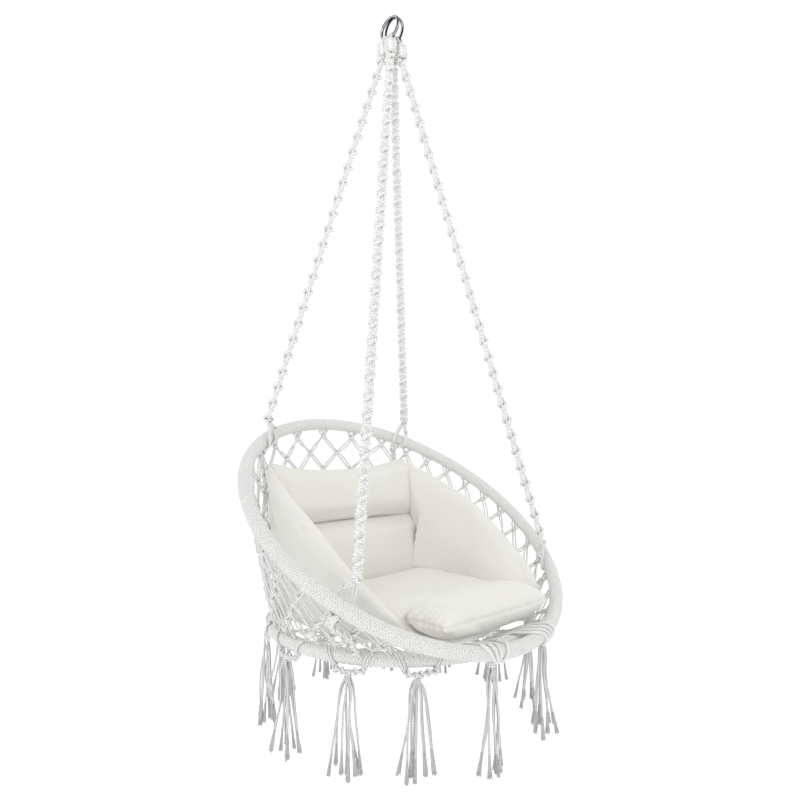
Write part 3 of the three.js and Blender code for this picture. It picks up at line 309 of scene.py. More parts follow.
chrome = Finish("ring_chrome", Metallic=1, Roughness=0.05)
around, along_wire = chrome.lay()
streaks = (around * (6 * np.pi) + (along_wire * 70).sine() * 1.5).sine() + 0.9 * (chrome.noise(60) - 0.5)
chrome.looks(
    Base_Color=chrome.node("ValToRGB", {"Fac": streaks * 0.5 + 0.5}, stops=[
        (0.4, (0.012, 0.013, 0.02)), (0.8, (0.5, 0.51, 0.55))]),
    Roughness=0.02 + 0.07 * chrome.noise(160, 3),
    Normal=chrome.relief(chrome.noise(900, 4), 0.00002),
)
for side, node in ((-1, "ring_left"), (1, "ring_right")):
    wire = ring_point(side, 2 * np.pi * np.arange(96) / 96)
    axis = np.array([side * np.cos(RING_LEAN), 0, np.sin(RING_LEAN)])
    bent = carry(wire[None], RING_WIRE, axis, 20, True)
    piece(node + "_wire", [bent], "rings", [chrome], "ring_chrome", node)

# Rope eyes
# At the head of each rope its cords lie side by side over the ring wire and come down on both sides of it.
# They are white cotton, about 4 mm thick here and drawn together into a neck. A cord is braided from strands
# that cross in diamonds. Its colour is painted lighter on the crowns and darker in the valleys: painted
# shade.
EYE_TURN, EYE_STEP = np.radians(18), np.radians(8.2)
EYE_CORD = 0.002
BRAID_PITCH = 0.0058
EYE_CLEAR = 0.0007
EYE_WIDER = 1.13
EYE_RANKS = np.array([-1.5, -0.5, 0.5, 1.5])
NECK_X, NECK_Y, NECK_STEP = 0.018, 0.0137, 0.0028
NECK_TOP, NECK_END = -0.0655, -0.0725
CORNERS = {"back_left": (-1, 1), "back_right": (1, 1), "front_left": (-1, -1), "front_right": (1, -1)}


def through(points, count):
    """A smooth line through the points along the last axis but one, by the Catmull-Rom cubic of each span."""
    points = np.asarray(points, float)
    spans = points.shape[-2] - 1
    u = np.linspace(0, spans, count)
    i = np.minimum(u.astype(int), spans - 1)
    t = (u - i)[:, None]
    a, b, c, d = (points[..., np.clip(i + k, 0, spans), :] for k in (-1, 0, 1, 2))
    return b + t / 2 * (c - a + t * (2 * a - 5 * b + 4 * c - d + t * (3 * (b - c) + d - a)))


cotton = Finish("white_cord", Roughness=0.85, Sheen_Weight=0.2, Sheen_Roughness=0.5)
around, along_cord = cotton.lay()
one = (around * (3 * np.pi) + along_cord * (np.pi / BRAID_PITCH)).sine().size()
two = (around * (3 * np.pi) - along_cord * (np.pi / BRAID_PITCH)).sine().size()
crown = cotton.maths("MAXIMUM", one, two) - 0.5 * cotton.maths("MINIMUM", one, two)
# Painted shade: the colour is darker in the braid's valleys than on its crowns, with an uneven tone from
# noise.
shade = crown.between(0.13, 0.67) * 0.8 + cotton.noise(420, 3) * 0.4
cotton.looks(
    Base_Color=cotton.node("ValToRGB", {"Fac": shade}, stops=[
        (0.2, (0.36, 0.36, 0.35)), (0.75, (0.89, 0.89, 0.88))]),
    Normal=cotton.relief(crown + 0.3 * cotton.noise(1900, 3), 0.0009),
)
for corner, (side_x, side_y) in CORNERS.items():
    wire = ring_point(side_x, side_y * EYE_TURN + EYE_RANKS * EYE_STEP)
    inward = unit(np.array([side_x * RING_X, 0, RING_Z]) - wire)
    axis = np.array([side_x * np.cos(RING_LEAN), 0, np.sin(RING_LEAN)])
    bend = np.radians(np.linspace(-125, 125, 9))
    over = wire[:, None] + (RING_WIRE + EYE_CLEAR + EYE_CORD) * (
        inward[:, None] * np.cos(bend)[:, None] + axis * EYE_WIDER * np.sin(bend)[:, None])
    y = side_y * NECK_Y + EYE_RANKS * NECK_STEP
    neck = []
    for height, wide in (
        (NECK_END, -0.0022), (NECK_TOP, -0.0023), (NECK_TOP, 0.0023), (NECK_END, 0.0022),
    ):
        x = side_x * (NECK_X + wide)
        neck.append(np.stack([np.full(4, x), y, np.full(4, height)], -1)[:, None])
    line = np.concatenate([neck[0], neck[1], over, neck[2], neck[3]], 1)
    cords = carry(through(line, 60), EYE_CORD, (0, 1, 0), 8)
    piece("eye_cords_" + corner, [cords], "eyes", [cotton], "cord", "rope_eye_" + corner)

# Wraps
# Under each eye a tight whipping of the same cord holds the rope's cords together. It is wound in flat turns
# round a core and its ends are buried, which leaves a square-shouldered collar with a bore for the neck.
WRAP_TOP, WRAP_FOOT = -0.065, -0.098
WRAP_HALF = 0.01335
WRAP_TURNS = 11
WRAP_CORD = 0.0019
WRAP_CORE = 0.0129
CORE_OUTLINE = [
    (0.004, WRAP_FOOT + 0.0006), (0.0108, WRAP_FOOT + 0.0006), (WRAP_CORE, WRAP_FOOT + 0.003),
    (WRAP_CORE, WRAP_TOP - 0.003), (0.0114, WRAP_TOP - 0.0004), (0.0104, WRAP_TOP - 0.0008),
    (0.0094, WRAP_TOP - 0.005), (0.0092, WRAP_TOP - 0.015), (0.002, WRAP_TOP - 0.0155)]


def squarish(turn):
    """Reach of a rounded square at an angle, 1 at the middle of its sides: cosine and sine in a 4-norm."""
    return (np.cos(turn) ** 4 + np.sin(turn) ** 4) ** (-1 / 4)


def squared_core(centre, outline, sides=32):
    """A core whose rings are rounded squares, one for each (reach, height) of its outline."""
    turn = 2 * np.pi * (np.arange(sides) + 0.5) / sides
    reach, height = np.asarray(outline).T
    reach = reach[:, None] * squarish(turn)
    rings = np.stack([
        centre[0] + reach * np.cos(turn), centre[1] + reach * np.sin(turn),
        np.broadcast_to(height[:, None], reach.shape)], -1)
    return rings.reshape(-1, 3), rounds(0.004 * np.arange(len(rings))[None], sides), 0


for corner, (side_x, side_y) in CORNERS.items():
    centre = np.array([side_x * NECK_X, side_y * NECK_Y])
    core = squared_core(centre, CORE_OUTLINE)
    wind = np.linspace(0, 2 * np.pi * WRAP_TURNS, 28 * WRAP_TURNS)
    reach = (WRAP_HALF - WRAP_CORD) * squarish(wind) * (1 - 0.012 * np.sin(2.3 * wind))
    settle = np.linspace(WRAP_TOP - WRAP_CORD, WRAP_FOOT + WRAP_CORD, len(wind))
    helix = np.stack([centre[0] + reach * np.cos(wind), centre[1] + reach * np.sin(wind), settle], -1)
    whipping = carry(helix[None], WRAP_CORD, (0, 0, 1), 7)
    piece("whipping_" + corner, [core, whipping], "chair", [cotton], "cord", "rope_wrap_" + corner)

# Hoops and their knitted sleeves
# Two hoops of 25 mm tube: the upper one is tilted and hangs on the ropes, and the lower one is level, hangs
# on the net and holds the seat. Each has a sleeve knitted in slanting ribs and sewn shut on the net's side.
UPPER = {"radius": 0.385, "centre": np.array([0, -0.05, -1.22]), "tilt": np.radians(35.4)}
LOWER = {"radius": 0.293, "centre": np.array([0, -0.03402, -1.44702]), "tilt": 0.0}
TUBE_RADIUS = 0.0125
SLEEVE_RADIUS = 0.0151
RIB_PITCH, RIB_DEPTH, RIB_SLANT = 0.0058, 0.0004, 6
STITCH_COLUMNS, STITCH_SLANT = 9, 1.3
SEAM_WIDTH, SEAM_SINK = 0.22, 0.0009


def hoop_point(hoop, turn):
    """A hoop's centre line, turn radians round from the sitter's left: a circle tilted about the X axis."""
    turn = np.asarray(turn, float)[..., None]
    uphill = np.array([0, np.cos(hoop["tilt"]), np.sin(hoop["tilt"])])
    return hoop["centre"] + hoop["radius"] * (np.cos(turn) * np.array([1, 0, 0]) + np.sin(turn) * uphill)


def hoop_tangent(hoop, turn):
    """The unit vector along a hoop's centre line."""
    turn = np.asarray(turn, float)[..., None]
    uphill = np.array([0, np.cos(hoop["tilt"]), np.sin(hoop["tilt"])])
    return np.cos(turn) * uphill - np.sin(turn) * np.array([1, 0, 0])


steel = Finish("tube_steel", Base_Color=(0.5, 0.5, 0.51, 1), Metallic=0.9, Roughness=0.4)
steel.looks(Roughness=0.3 + 0.25 * steel.noise(90, 3), Normal=steel.relief(steel.noise(700, 3), 0.00005))

knit = Finish("white_knit", Roughness=0.92, Sheen_Weight=0.15, Sheen_Roughness=0.5)
around, along = knit.lay()
zigzag = knit.maths("PINGPONG", around * STITCH_COLUMNS, 0.5)
wander = knit.noise(120) * 1.6
stitch = (along * (2 * np.pi / RIB_PITCH) + zigzag * (2 * np.pi * STITCH_SLANT) + wander).sine()
columns = (around * (2 * np.pi * STITCH_COLUMNS)).sine().size()
specks = knit.noise(620, 4)
# Painted shade: the colour is darker between the stitches and between the columns. The specks vary its tone
# at random.
shade = 0.45 + 0.14 * stitch + 0.08 * columns + 1.7 * (specks - 0.5)
knit.looks(
    Base_Color=knit.node("ValToRGB", {"Fac": shade}, stops=[
        (0.1, (0.46, 0.46, 0.45)), (0.6, (0.87, 0.87, 0.855))]),
    Normal=knit.relief(0.4 * stitch + 0.4 * columns + knit.noise(1100, 3), 0.0009),
)
for hoop, other, label in ((UPPER, LOWER, "upper"), (LOWER, UPPER, "lower")):
    ribs = round(2 * np.pi * hoop["radius"] / RIB_PITCH)
    turn = 2 * np.pi * np.arange(ribs * 5) / (ribs * 5)
    centre = hoop_point(hoop, turn)
    across = 2 * np.pi * np.arange(20) / 20
    rib = np.sin(ribs * turn[:, None] + RIB_SLANT * np.abs(np.sin(across)))
    seam = np.exp(-(np.minimum(across, 2 * np.pi - across) / SEAM_WIDTH) ** 2)
    skin = SLEEVE_RADIUS - RIB_DEPTH * (0.5 - 0.5 * rib) - SEAM_SINK * seam
    sleeve = carry(centre[None], skin[None], hoop_point(other, turn) - centre, 20, True)
    piece(label + "_sleeve_knit", [sleeve], "chair", [knit], "knit", label + "_hoop_sleeve")
    bare = hoop_point(hoop, 2 * np.pi * np.arange(128) / 128)
    tube = carry(bare[None], TUBE_RADIUS, (0, 0, 1) if hoop is UPPER else (0, 0.01, 1), 12, True)
    piece(label + "_tube_steel", [tube], "chair", [steel], "hoop_tube", label + "_hoop_tube")

# Hanging ropes
# Each rope is a flat run of square knots: straight core cords with two working cords tied over them in turn
# from the left and from the right, which leaves a row of knobs down both edges.
ROPE_KNOTS = (0.04, 0.0074, 0.0046, 0.0041, 0.0034, 3)  # pitch, width, depth, working cord, core cord, cores
ROPE_TWIST = 0.5
ROPE_START, ROPE_END = -0.0983, 0.0556
GRIP_TURN = dict(zip(CORNERS, np.radians([124.7, 55.3, 211, 329])))
CORE_SPACE, CORE_WAVE = 1.45, 0.35
shaker = np.random.default_rng(1702)


def knotted(line, flat, pitch, wide, deep, working, core, cores):
    """A run of square knots along a line, as (paths, radius, toward) for carry().

    The working cords swing from edge to edge once in a pitch. One always crosses in front and the other
    behind, and both run upright for a moment at the edges. Every second crossing stands proud of the one
    before it. The core cords stay in the middle.
    """
    line = np.asarray(line, float)
    far = np.concatenate([[0], np.cumsum(np.linalg.norm(np.diff(line, axis=0), axis=-1))])
    count = max(int(far[-1] / pitch * 16), 12)
    s = np.linspace(0, far[-1], count)
    centre = np.stack([np.interp(s, far, line[:, k]) for k in range(3)], -1)
    tangent = unit(np.gradient(centre, axis=0))
    flat = np.broadcast_to(flat, centre.shape)
    edge = unit(flat - (flat * tangent).sum(-1, keepdims=True) * tangent)
    front = np.cross(tangent, edge)
    phase = 2 * np.pi * (s / pitch)
    phase = phase + 0.25 * np.interp(s, np.linspace(0, far[-1], 9), shaker.normal(size=9))
    swing = np.tanh(1.7 * np.cos(phase)) / np.tanh(1.7)
    breathe = 1 + 0.07 * np.interp(s, np.linspace(0, far[-1], 40), shaker.normal(size=40))
    across = [wide * swing * breathe, -wide * swing * breathe]
    cross = np.abs(np.sin(phase)) ** 0.8 * (1 + 0.75 * np.sin(phase))
    over = deep * cross - 0.3 * working * np.cos(2 * phase)
    proud = [over, -over]
    for k in range(cores):
        spot = (k - (cores - 1) / 2) * CORE_SPACE * core
        across.append(spot + CORE_WAVE * working * np.sin(phase + 0.4 * k))
        proud.append(0.15 * working * np.cos(phase + 2 * k))
    paths = centre + np.array(across)[..., None] * edge + np.array(proud)[..., None] * front
    thick = np.array([working, working] + [core] * cores)[:, None, None]
    return paths, thick, front


rope_ends = {}
for corner, (side_x, side_y) in CORNERS.items():
    turn = GRIP_TURN[corner]
    grip, tangent = hoop_point(UPPER, turn), hoop_tangent(UPPER, turn)
    start = np.array([side_x * NECK_X, side_y * NECK_Y, ROPE_START])
    rise = start - grip
    rise = unit(rise - rise @ tangent * tangent)
    apex = grip + rise * ROPE_END
    rope_ends[corner] = (grip, tangent, rise)
    flat = tangent * np.cos(ROPE_TWIST) + np.cross(tangent, rise) * np.sin(ROPE_TWIST) * side_x
    cords = carry(*knotted([start, apex], flat, *ROPE_KNOTS), 9)
    piece("rope_cords_" + corner, [cords], "chair", [cotton], "cord", "hanging_rope_" + corner)

# Hitches and drop cords
# Above the upper hoop a rope's cords part into two pairs, pass down the sleeve's inner side and are knotted
# again under it, which leaves its outer face bare. Some of them then run on outside the net as a thin chain
# of knots to the lower hoop, so that it can't swing away.
HITCH_CORD = 0.0031
HITCH_SPLAY = 0.017
HITCH_NECK, HITCH_FOOT = 0.054, 0.0245
HITCH_ROUND = np.radians([0, 22, 62, 100, 140, 172])
HITCH_REACH = np.array([0.052, 0.0325, 0.0192, 0.0186, 0.0188, HITCH_FOOT])
HITCH_ASIDE = np.array([0.1, 0.62, 1, 0.95, 0.55, 0.15]) * HITCH_SPLAY
DROP_OFFSET = 0.012
DROP_KNOTS = (0.021, 0.0041, 0.0027, 0.0026, 0.0024, 1)


def wall_down(turn):
    """The unit vector from the upper hoop down to the lower one at the same turn, and the wall's height."""
    way = hoop_point(LOWER, turn) - hoop_point(UPPER, turn)
    height = np.linalg.norm(way, axis=-1)
    return way / height[..., None], height


def wall_normal(turn):
    """The wall's unit normal that looks into the seat."""
    turn = np.asarray(turn, float)
    normal = unit(np.cross(hoop_tangent(UPPER, turn), wall_down(turn)[0]))
    inward = np.stack([-np.cos(turn), -np.sin(turn) * np.cos(UPPER["tilt"]), np.full(turn.shape, 0.25)], -1)
    return normal * np.sign((normal * inward).sum(-1, keepdims=True))


def wall_point(turn, depth, inside=0.0):
    """A point of the wall, depth metres down from the upper hoop's centre line and inside metres inwards."""
    down = wall_down(turn)[0]
    return hoop_point(UPPER, turn) + np.asarray(depth)[..., None] * down + inside * wall_normal(turn)


def coil(centre, axis, wide, wide_way, deep, tall, turns, cord, tilt=0.0, paint=0):
    """Turns of cord round an axis at many centres: a helix, flattened to wide one way and deep the other."""
    centre, axis, wide_way = (np.atleast_2d(v)[:, None] for v in (centre, axis, wide_way))
    t = np.linspace(-np.pi * turns, np.pi * turns, int(14 * turns) + 2)[:, None]
    deep_way = np.cross(axis, wide_way)
    path = centre + wide * np.cos(t) * wide_way + deep * np.sin(t) * deep_way
    path = path + (tall * t / (2 * np.pi * turns) + tilt * np.cos(t)) * axis
    return carry(path, cord, axis, 7, paint=paint)


for corner, turn in GRIP_TURN.items():
    grip, tangent, rise = rope_ends[corner]
    inner = np.cross(tangent, rise)
    inner *= np.sign(inner @ (UPPER["centre"] - grip))
    pairs = []
    for wide in (-1.25, 0.75):
        for rank in (-1, 1):
            aside = wide * HITCH_ASIDE + rank * 0.0026 + 0.0007 * np.sin(3 * HITCH_ROUND + rank)
            lift = HITCH_REACH + 0.0004 * rank
            upwards, inwards = lift * np.cos(HITCH_ROUND), lift * np.sin(HITCH_ROUND)
            pairs.append(grip + upwards[:, None] * rise + inwards[:, None] * inner + aside[:, None] * tangent)
    neck = grip + rise * HITCH_NECK
    shoulder = grip + rise * 0.034 - tangent * 0.013 + inner * 0.012
    foot = grip - rise * HITCH_FOOT
    heel = foot - rise * 0.005 + tangent * 0.003
    parts = [
        carry(through(pairs, 48), HITCH_CORD, tangent, 8),
        coil(neck, unit(rise + 0.3 * tangent), 0.0072, unit(tangent - 0.3 * rise), 0.0062,
             0.007, 1.6, 0.0032, 0.002),
        coil(shoulder, unit(rise - tangent), 0.0058, unit(rise + tangent), 0.005, 0.005, 1.4, 0.0026),
        coil(foot, unit(rise - 0.5 * tangent), 0.0085, unit(tangent + 0.5 * rise), 0.0066,
             0.009, 2.1, 0.003, 0.002),
        coil(heel, tangent, 0.0066, rise, 0.006, 0.006, 1.4, 0.003, 0.001),
    ]
    piece("hitch_cords_" + corner, parts, "chair", [cotton], "cord", "rope_hitch_" + corner)

    below = grip - rise * (HITCH_FOOT + 0.006)
    depths = np.array([0.073, wall_down(turn)[1] - 0.03])
    high, low = wall_point(np.full(2, turn), depths, -DROP_OFFSET)
    seat = hoop_point(LOWER, turn)
    stop = seat - unit(seat - low) * (SLEEVE_RADIUS + 0.0012)
    line = through([below, below - rise * 0.006, high, low, stop], 60)
    chain = carry(*knotted(line, tangent, *DROP_KNOTS), 7)
    piece("drop_chain_" + corner, [chain], "chair", [cotton], "cord", "drop_cord_" + corner)

# Wall net
# Pairs of cord are looped through the upper sleeve's seam, knotted together in diamonds down the wall and led
# through the lower sleeve's seam. Where the hoops come close together at the front there is only a lacing.
NET_ROW = 0.043
FIRST_KNOT, LAST_KNOT = 0.030, 0.024
NET_STEM = 0.010
NET_ROWS = 12
SEAM_REACH = 0.0138
NET_PARTS = (("right", 0, 18), ("front", 19, 41), ("left", 42, 60), ("back", 61, 69))
LOOP_SPREAD = 0.012
COLUMNS = 35
COLUMN_STOPS = np.array([0, 9, 21, 30, COLUMNS])
COLUMN_TURNS = np.radians([55.3, -31, -149, -235.3, -304.7])
NET_CORD = 0.0022
NET_SPACE = 0.0038
LEG_TURNS, LEG_ODDS = [0.15, 1.0], [0.6, 0.4]
LEG_SHIFT, LEG_BOW, KNOT_LEAN = 0.35, 0.05, 0.35


def column_turn(half):
    """The turn round the hoops at a half column, counted from the back right rope towards the front."""
    column = np.asarray(half) / 2
    laps = np.floor(column / COLUMNS)
    return np.interp(column - COLUMNS * laps, COLUMN_STOPS, COLUMN_TURNS) - 2 * np.pi * laps


def twin_cords(start, end, normal, turns, shift, bow):
    """Two cords side by side from start to end that twist round each other a little and bow a little."""
    t = np.linspace(0, 1, 10)[:, None]
    way = end - start
    sideways = unit(np.cross(normal, way))[:, None]
    length = np.linalg.norm(way, axis=-1)[:, None, None]
    line = start[:, None] + t * way[:, None] + bow[:, None, None] * length * np.sin(np.pi * t) * sideways
    angle = (shift[:, None] + turns[:, None] * np.pi * t[:, 0])[..., None]
    spread = NET_SPACE * (0.62 + 0.38 * np.sin(np.pi * t))
    offset = spread * (np.cos(angle) * sideways + 0.9 * np.sin(angle) * normal[:, None])
    return np.concatenate([line + offset, line - offset])


def netting(starts, ends, normals, radius=NET_CORD):
    """Twin cords between many pairs of points, some side by side and some crossed once, with a seeded bow."""
    count = len(starts)
    turns = shaker.choice([-1, 1], count) * shaker.choice(LEG_TURNS, count, p=LEG_ODDS)
    shift, bow = shaker.uniform(-LEG_SHIFT, LEG_SHIFT, count), shaker.uniform(-LEG_BOW, LEG_BOW, count)
    cords = twin_cords(starts, ends, normals, turns, shift, bow)
    return carry(cords, radius, np.tile(normals, (2, 1))[:, None], 6)


halves = np.arange(2 * COLUMNS)
knot_depth = FIRST_KNOT + np.arange(NET_ROWS) * NET_ROW
wall_height = wall_down(column_turn(halves))[1]
tied = np.zeros((NET_ROWS + 1, 2 * COLUMNS), bool)
for row in range(NET_ROWS):
    fits = ((row + 1 + halves) % 2 == 0) & (knot_depth[row] <= wall_height - LAST_KNOT)
    tied[row] = fits & (True if row == 0 else np.roll(tied[row - 1], 1) & np.roll(tied[row - 1], -1))

# A leg is its start's half column and depth, its end's half column and depth, and the half column that it
# belongs to. A depth under 0 is counted up from the lower hoop.
legs = []
knots = np.argwhere(tied[:NET_ROWS])
for row, half in knots:
    depth = knot_depth[row]
    if row == 0:
        pace = abs(np.gradient(column_turn(np.array([half - 1, half, half + 1])))[1])
        step = LOOP_SPREAD / UPPER["radius"] / pace
        legs += [(half, depth, half + way * step, SEAM_REACH, half) for way in (-1, 1)]
    for way in (-1, 1):
        near = half + way
        if tied[row + 1, near % (2 * COLUMNS)]:
            legs.append((half, depth, near, depth + NET_ROW, half))
            continue
        partner = tied[row, (half + 2 * way) % (2 * COLUMNS)]
        height = wall_height[near % (2 * COLUMNS)]
        if row == 0 and not partner:
            legs.append((half, depth, near, height / 2, half))
            continue
        remains = height - SEAM_REACH - depth
        if partner and remains > NET_STEM:
            fork = height - SEAM_REACH - NET_STEM
            legs.append((half, depth, near, fork, half))
            if way == 1:
                legs.append((near, fork, near, -SEAM_REACH, half))
            continue
        reach = np.clip(remains / NET_ROW, 0.3, 0.72)
        legs.append((half, depth, half + way * reach, -SEAM_REACH, half))
laced = halves[(halves % 2 == 1) & ~tied[0]]
for half in laced:
    middle = wall_height[half] / 2
    legs += [(half, middle, half, SEAM_REACH, half), (half, middle, half, -SEAM_REACH, half)]
    for way in (-1, 1):
        near = half + way
        legs.append((half, middle, near, wall_height[near % (2 * COLUMNS)] / 2, half))
legs = np.array(legs, float)


def wall_place(half, depth):
    """A point of the wall at a half column and a depth. One under 0 is counted up from the lower hoop."""
    turn = column_turn(half)
    depth = np.where(depth < 0, wall_down(turn)[1] + depth, depth)
    return wall_point(turn, depth)


for label, low, high in NET_PARTS:
    mine = legs[(legs[:, 4] >= low) & (legs[:, 4] <= high)]
    normals = wall_normal(column_turn(mine[:, 0]))
    net = netting(wall_place(mine[:, 0], mine[:, 1]), wall_place(mine[:, 2], mine[:, 3]), normals)
    tie = knots[(knots[:, 1] >= low) & (knots[:, 1] <= high)]
    lace = laced[(laced >= low) & (laced <= high)]
    turns = column_turn(np.concatenate([tie[:, 1], lace]))
    depths = np.concatenate([knot_depth[tie[:, 0]], wall_height[lace] / 2])
    inside = wall_normal(turns)
    down = wall_down(turns)[0]
    lean = shaker.uniform(-KNOT_LEAN, KNOT_LEAN, len(turns))[:, None]
    axis = unit(down + lean * np.cross(down, inside))
    tight = coil(wall_point(turns, depths), axis, 0.0052, unit(np.cross(axis, inside)), 0.0046, 0.008, 2.1,
                 0.0025, 0.0016)
    piece("net_cords_" + label, [net, tight], "chair", [cotton], "cord", "net_" + label)

# Seat net
# Inside the lower hoop the same cords make the web that the cushion lies on: rings of knots that shrink
# towards the middle and sag a little.
SEAT_SPOKES, SEAT_ROWS, SEAT_SHRINK, SEAT_SAG = 16, 5, 0.74, 0.020
SEAT_CORD = 0.0021
SEAT_OUTER = LOWER["radius"] - 0.0153


def seat_point(turn, radius):
    """A point of the seat net, a bowl whose depth falls off with the square of the radius."""
    drop = np.full(turn.shape, SEAT_SAG * (1 - (radius / LOWER["radius"]) ** 2))
    return LOWER["centre"] + np.stack([radius * np.cos(turn), radius * np.sin(turn), -drop], -1)


spoke = 2 * np.pi * np.arange(SEAT_SPOKES) / SEAT_SPOKES
gap = np.pi / SEAT_SPOKES
radii = SEAT_OUTER * SEAT_SHRINK ** (np.arange(SEAT_ROWS) + 0.5)
starts, ends, centres = [], [], []
for row, radius in enumerate(radii):
    ring = spoke + (row % 2) * gap
    centres.append(seat_point(ring, radius))
    for way in (-1, 1):
        starts.append(centres[-1])
        if row == 0:
            ends.append(seat_point(ring + way * LOOP_SPREAD / SEAT_OUTER, SEAT_OUTER + 0.002))
        else:
            ends.append(seat_point(ring + way * gap, radii[row - 1]))
starts.append(centres[-1])
ends.append(np.roll(centres[-1], -1, 0))
starts, ends, centres = map(np.concatenate, (starts, ends, centres))
web = netting(starts, ends, np.tile([0.0, 0, 1], (len(starts), 1)), SEAT_CORD)
outward = unit((centres - LOWER["centre"]) * [1, 1, 0])
tight = coil(centres, outward, 0.0056, np.cross(outward, [0, 0, 1]), 0.0036, 0.006, 1.7, SEAT_CORD)
piece("seat_net_cords", [web, tight], "chair", [cotton], "cord", "seat_net")

# Swags and tassels
# Chains of knots sag under the lower hoop, tied to it by cords of the net. Four or five cords are folded over
# each, and their tails hang down and end in unlaid, greyish brushes. At the front, where the hoops lie side
# by side, two tassels hang from cords that come from the seat net and bind both hoops together.
TASSEL_TURN = np.radians(26)
SWAG_SPAN, SWAG_DROP = 0.031, 0.014
SWAG_KNOTS = (0.014, 0.0038, 0.003, 0.0025, 0.0022, 1)
STRAND = 0.0023
STRAND_STEP = 0.0044
TAIL = 0.197
TAIL_EXTRA = {7: -0.008, 8: 0.014, 9: 0.004}
SWAY = {7: -0.029, 8: -0.043, 9: -0.014}
BRUSH = 0.044
FIBRES = 14
FIBRE_RADIUS = np.array([0.0011, 0.0012, 0.0012, 0.0012, 0.0009])
BINDING = {8: (-0.034, -0.014, 0.002, 0.028), 9: (-0.082, -0.064, -0.046, -0.028)}
BINDING_SLANT = {8: 0, 9: 0.62}
BINDING_CORD = 0.0024
BINDING_REACH = SLEEVE_RADIUS + 0.0022
BINDING_ROUND = np.radians([105, 70, 35, 0, -30, -58])
BINDING_OUT = np.hstack([[-0.058, -0.03, -0.003], BINDING_REACH * np.cos(BINDING_ROUND), [-0.004]])
BINDING_UP = np.hstack([
    [-0.004, 0.006, BINDING_REACH], BINDING_REACH * np.sin(BINDING_ROUND), [-SLEEVE_RADIUS - 0.005]])
BINDING_CLOSING = np.array([1.3, 1.2, 1.05, 0.95, 0.85, 0.7, 0.54, 0.36, 0.2, 0.04])
GATHER_SHARE = 0.62
UPPER_SHARE = np.array([0, 0, 0, 1, 1, 1, 1, 1, 1, GATHER_SHARE])
TIE_CORD = 0.0023
TIE_ROUND = np.radians(np.linspace(68, -80, 14))[:, None]
TIE_OPEN = 0.017 * np.linspace(1, 0, 14)[:, None] ** 1.5
BRAID_PAINT, FRAYED_PAINT, COTTON_PAINT = 0, 1, 2

frayed = Finish("frayed_ends", Roughness=0.85)
frayed.looks(Base_Color=frayed.node(
    "ValToRGB", {"Fac": frayed.noise(220, 3)}, stops=[(0.3, (0.44, 0.44, 0.445)), (0.75, (0.6, 0.6, 0.605))]))
braid = Finish("tassel_cord", Roughness=0.85, Sheen_Weight=0.2, Sheen_Roughness=0.5)
around, along_cord = braid.lay()
drift = along_cord * (2 * np.pi / 0.0078) + braid.noise(30, 1) * 6
one = (around * (4 * np.pi) + drift).sine()
two = (around * (4 * np.pi) - drift).sine()
# Painted shade: the colour is dark between the braid's raised dots and light on them, with an uneven tone
# from noise.
dots = 0.6 + 0.8 * (one * two) + 0.9 * (braid.noise(700, 3) - 0.5)
braid.looks(
    Base_Color=braid.node("ValToRGB", {"Fac": dots}, stops=[
        (0.2, (0.3, 0.3, 0.295)), (0.72, (0.87, 0.87, 0.86))]),
    Normal=braid.relief(dots, 0.0005),
)
rim = hoop_point(UPPER, np.radians(np.arange(721) / 2))
rim_bearing = np.unwrap(np.arctan2(rim[:, 1] - LOWER["centre"][1], rim[:, 0] - LOWER["centre"][0]))


def rim_step(bearing):
    """How far out and up the upper hoop lies from the lower one, at a bearing round the lower hoop."""
    spot = np.stack([np.interp(bearing, rim_bearing, rim[:, k]) for k in range(3)], -1)
    step = spot - hoop_point(LOWER, bearing)
    return step[..., 0] * np.cos(bearing) + step[..., 1] * np.sin(bearing), step[..., 2]


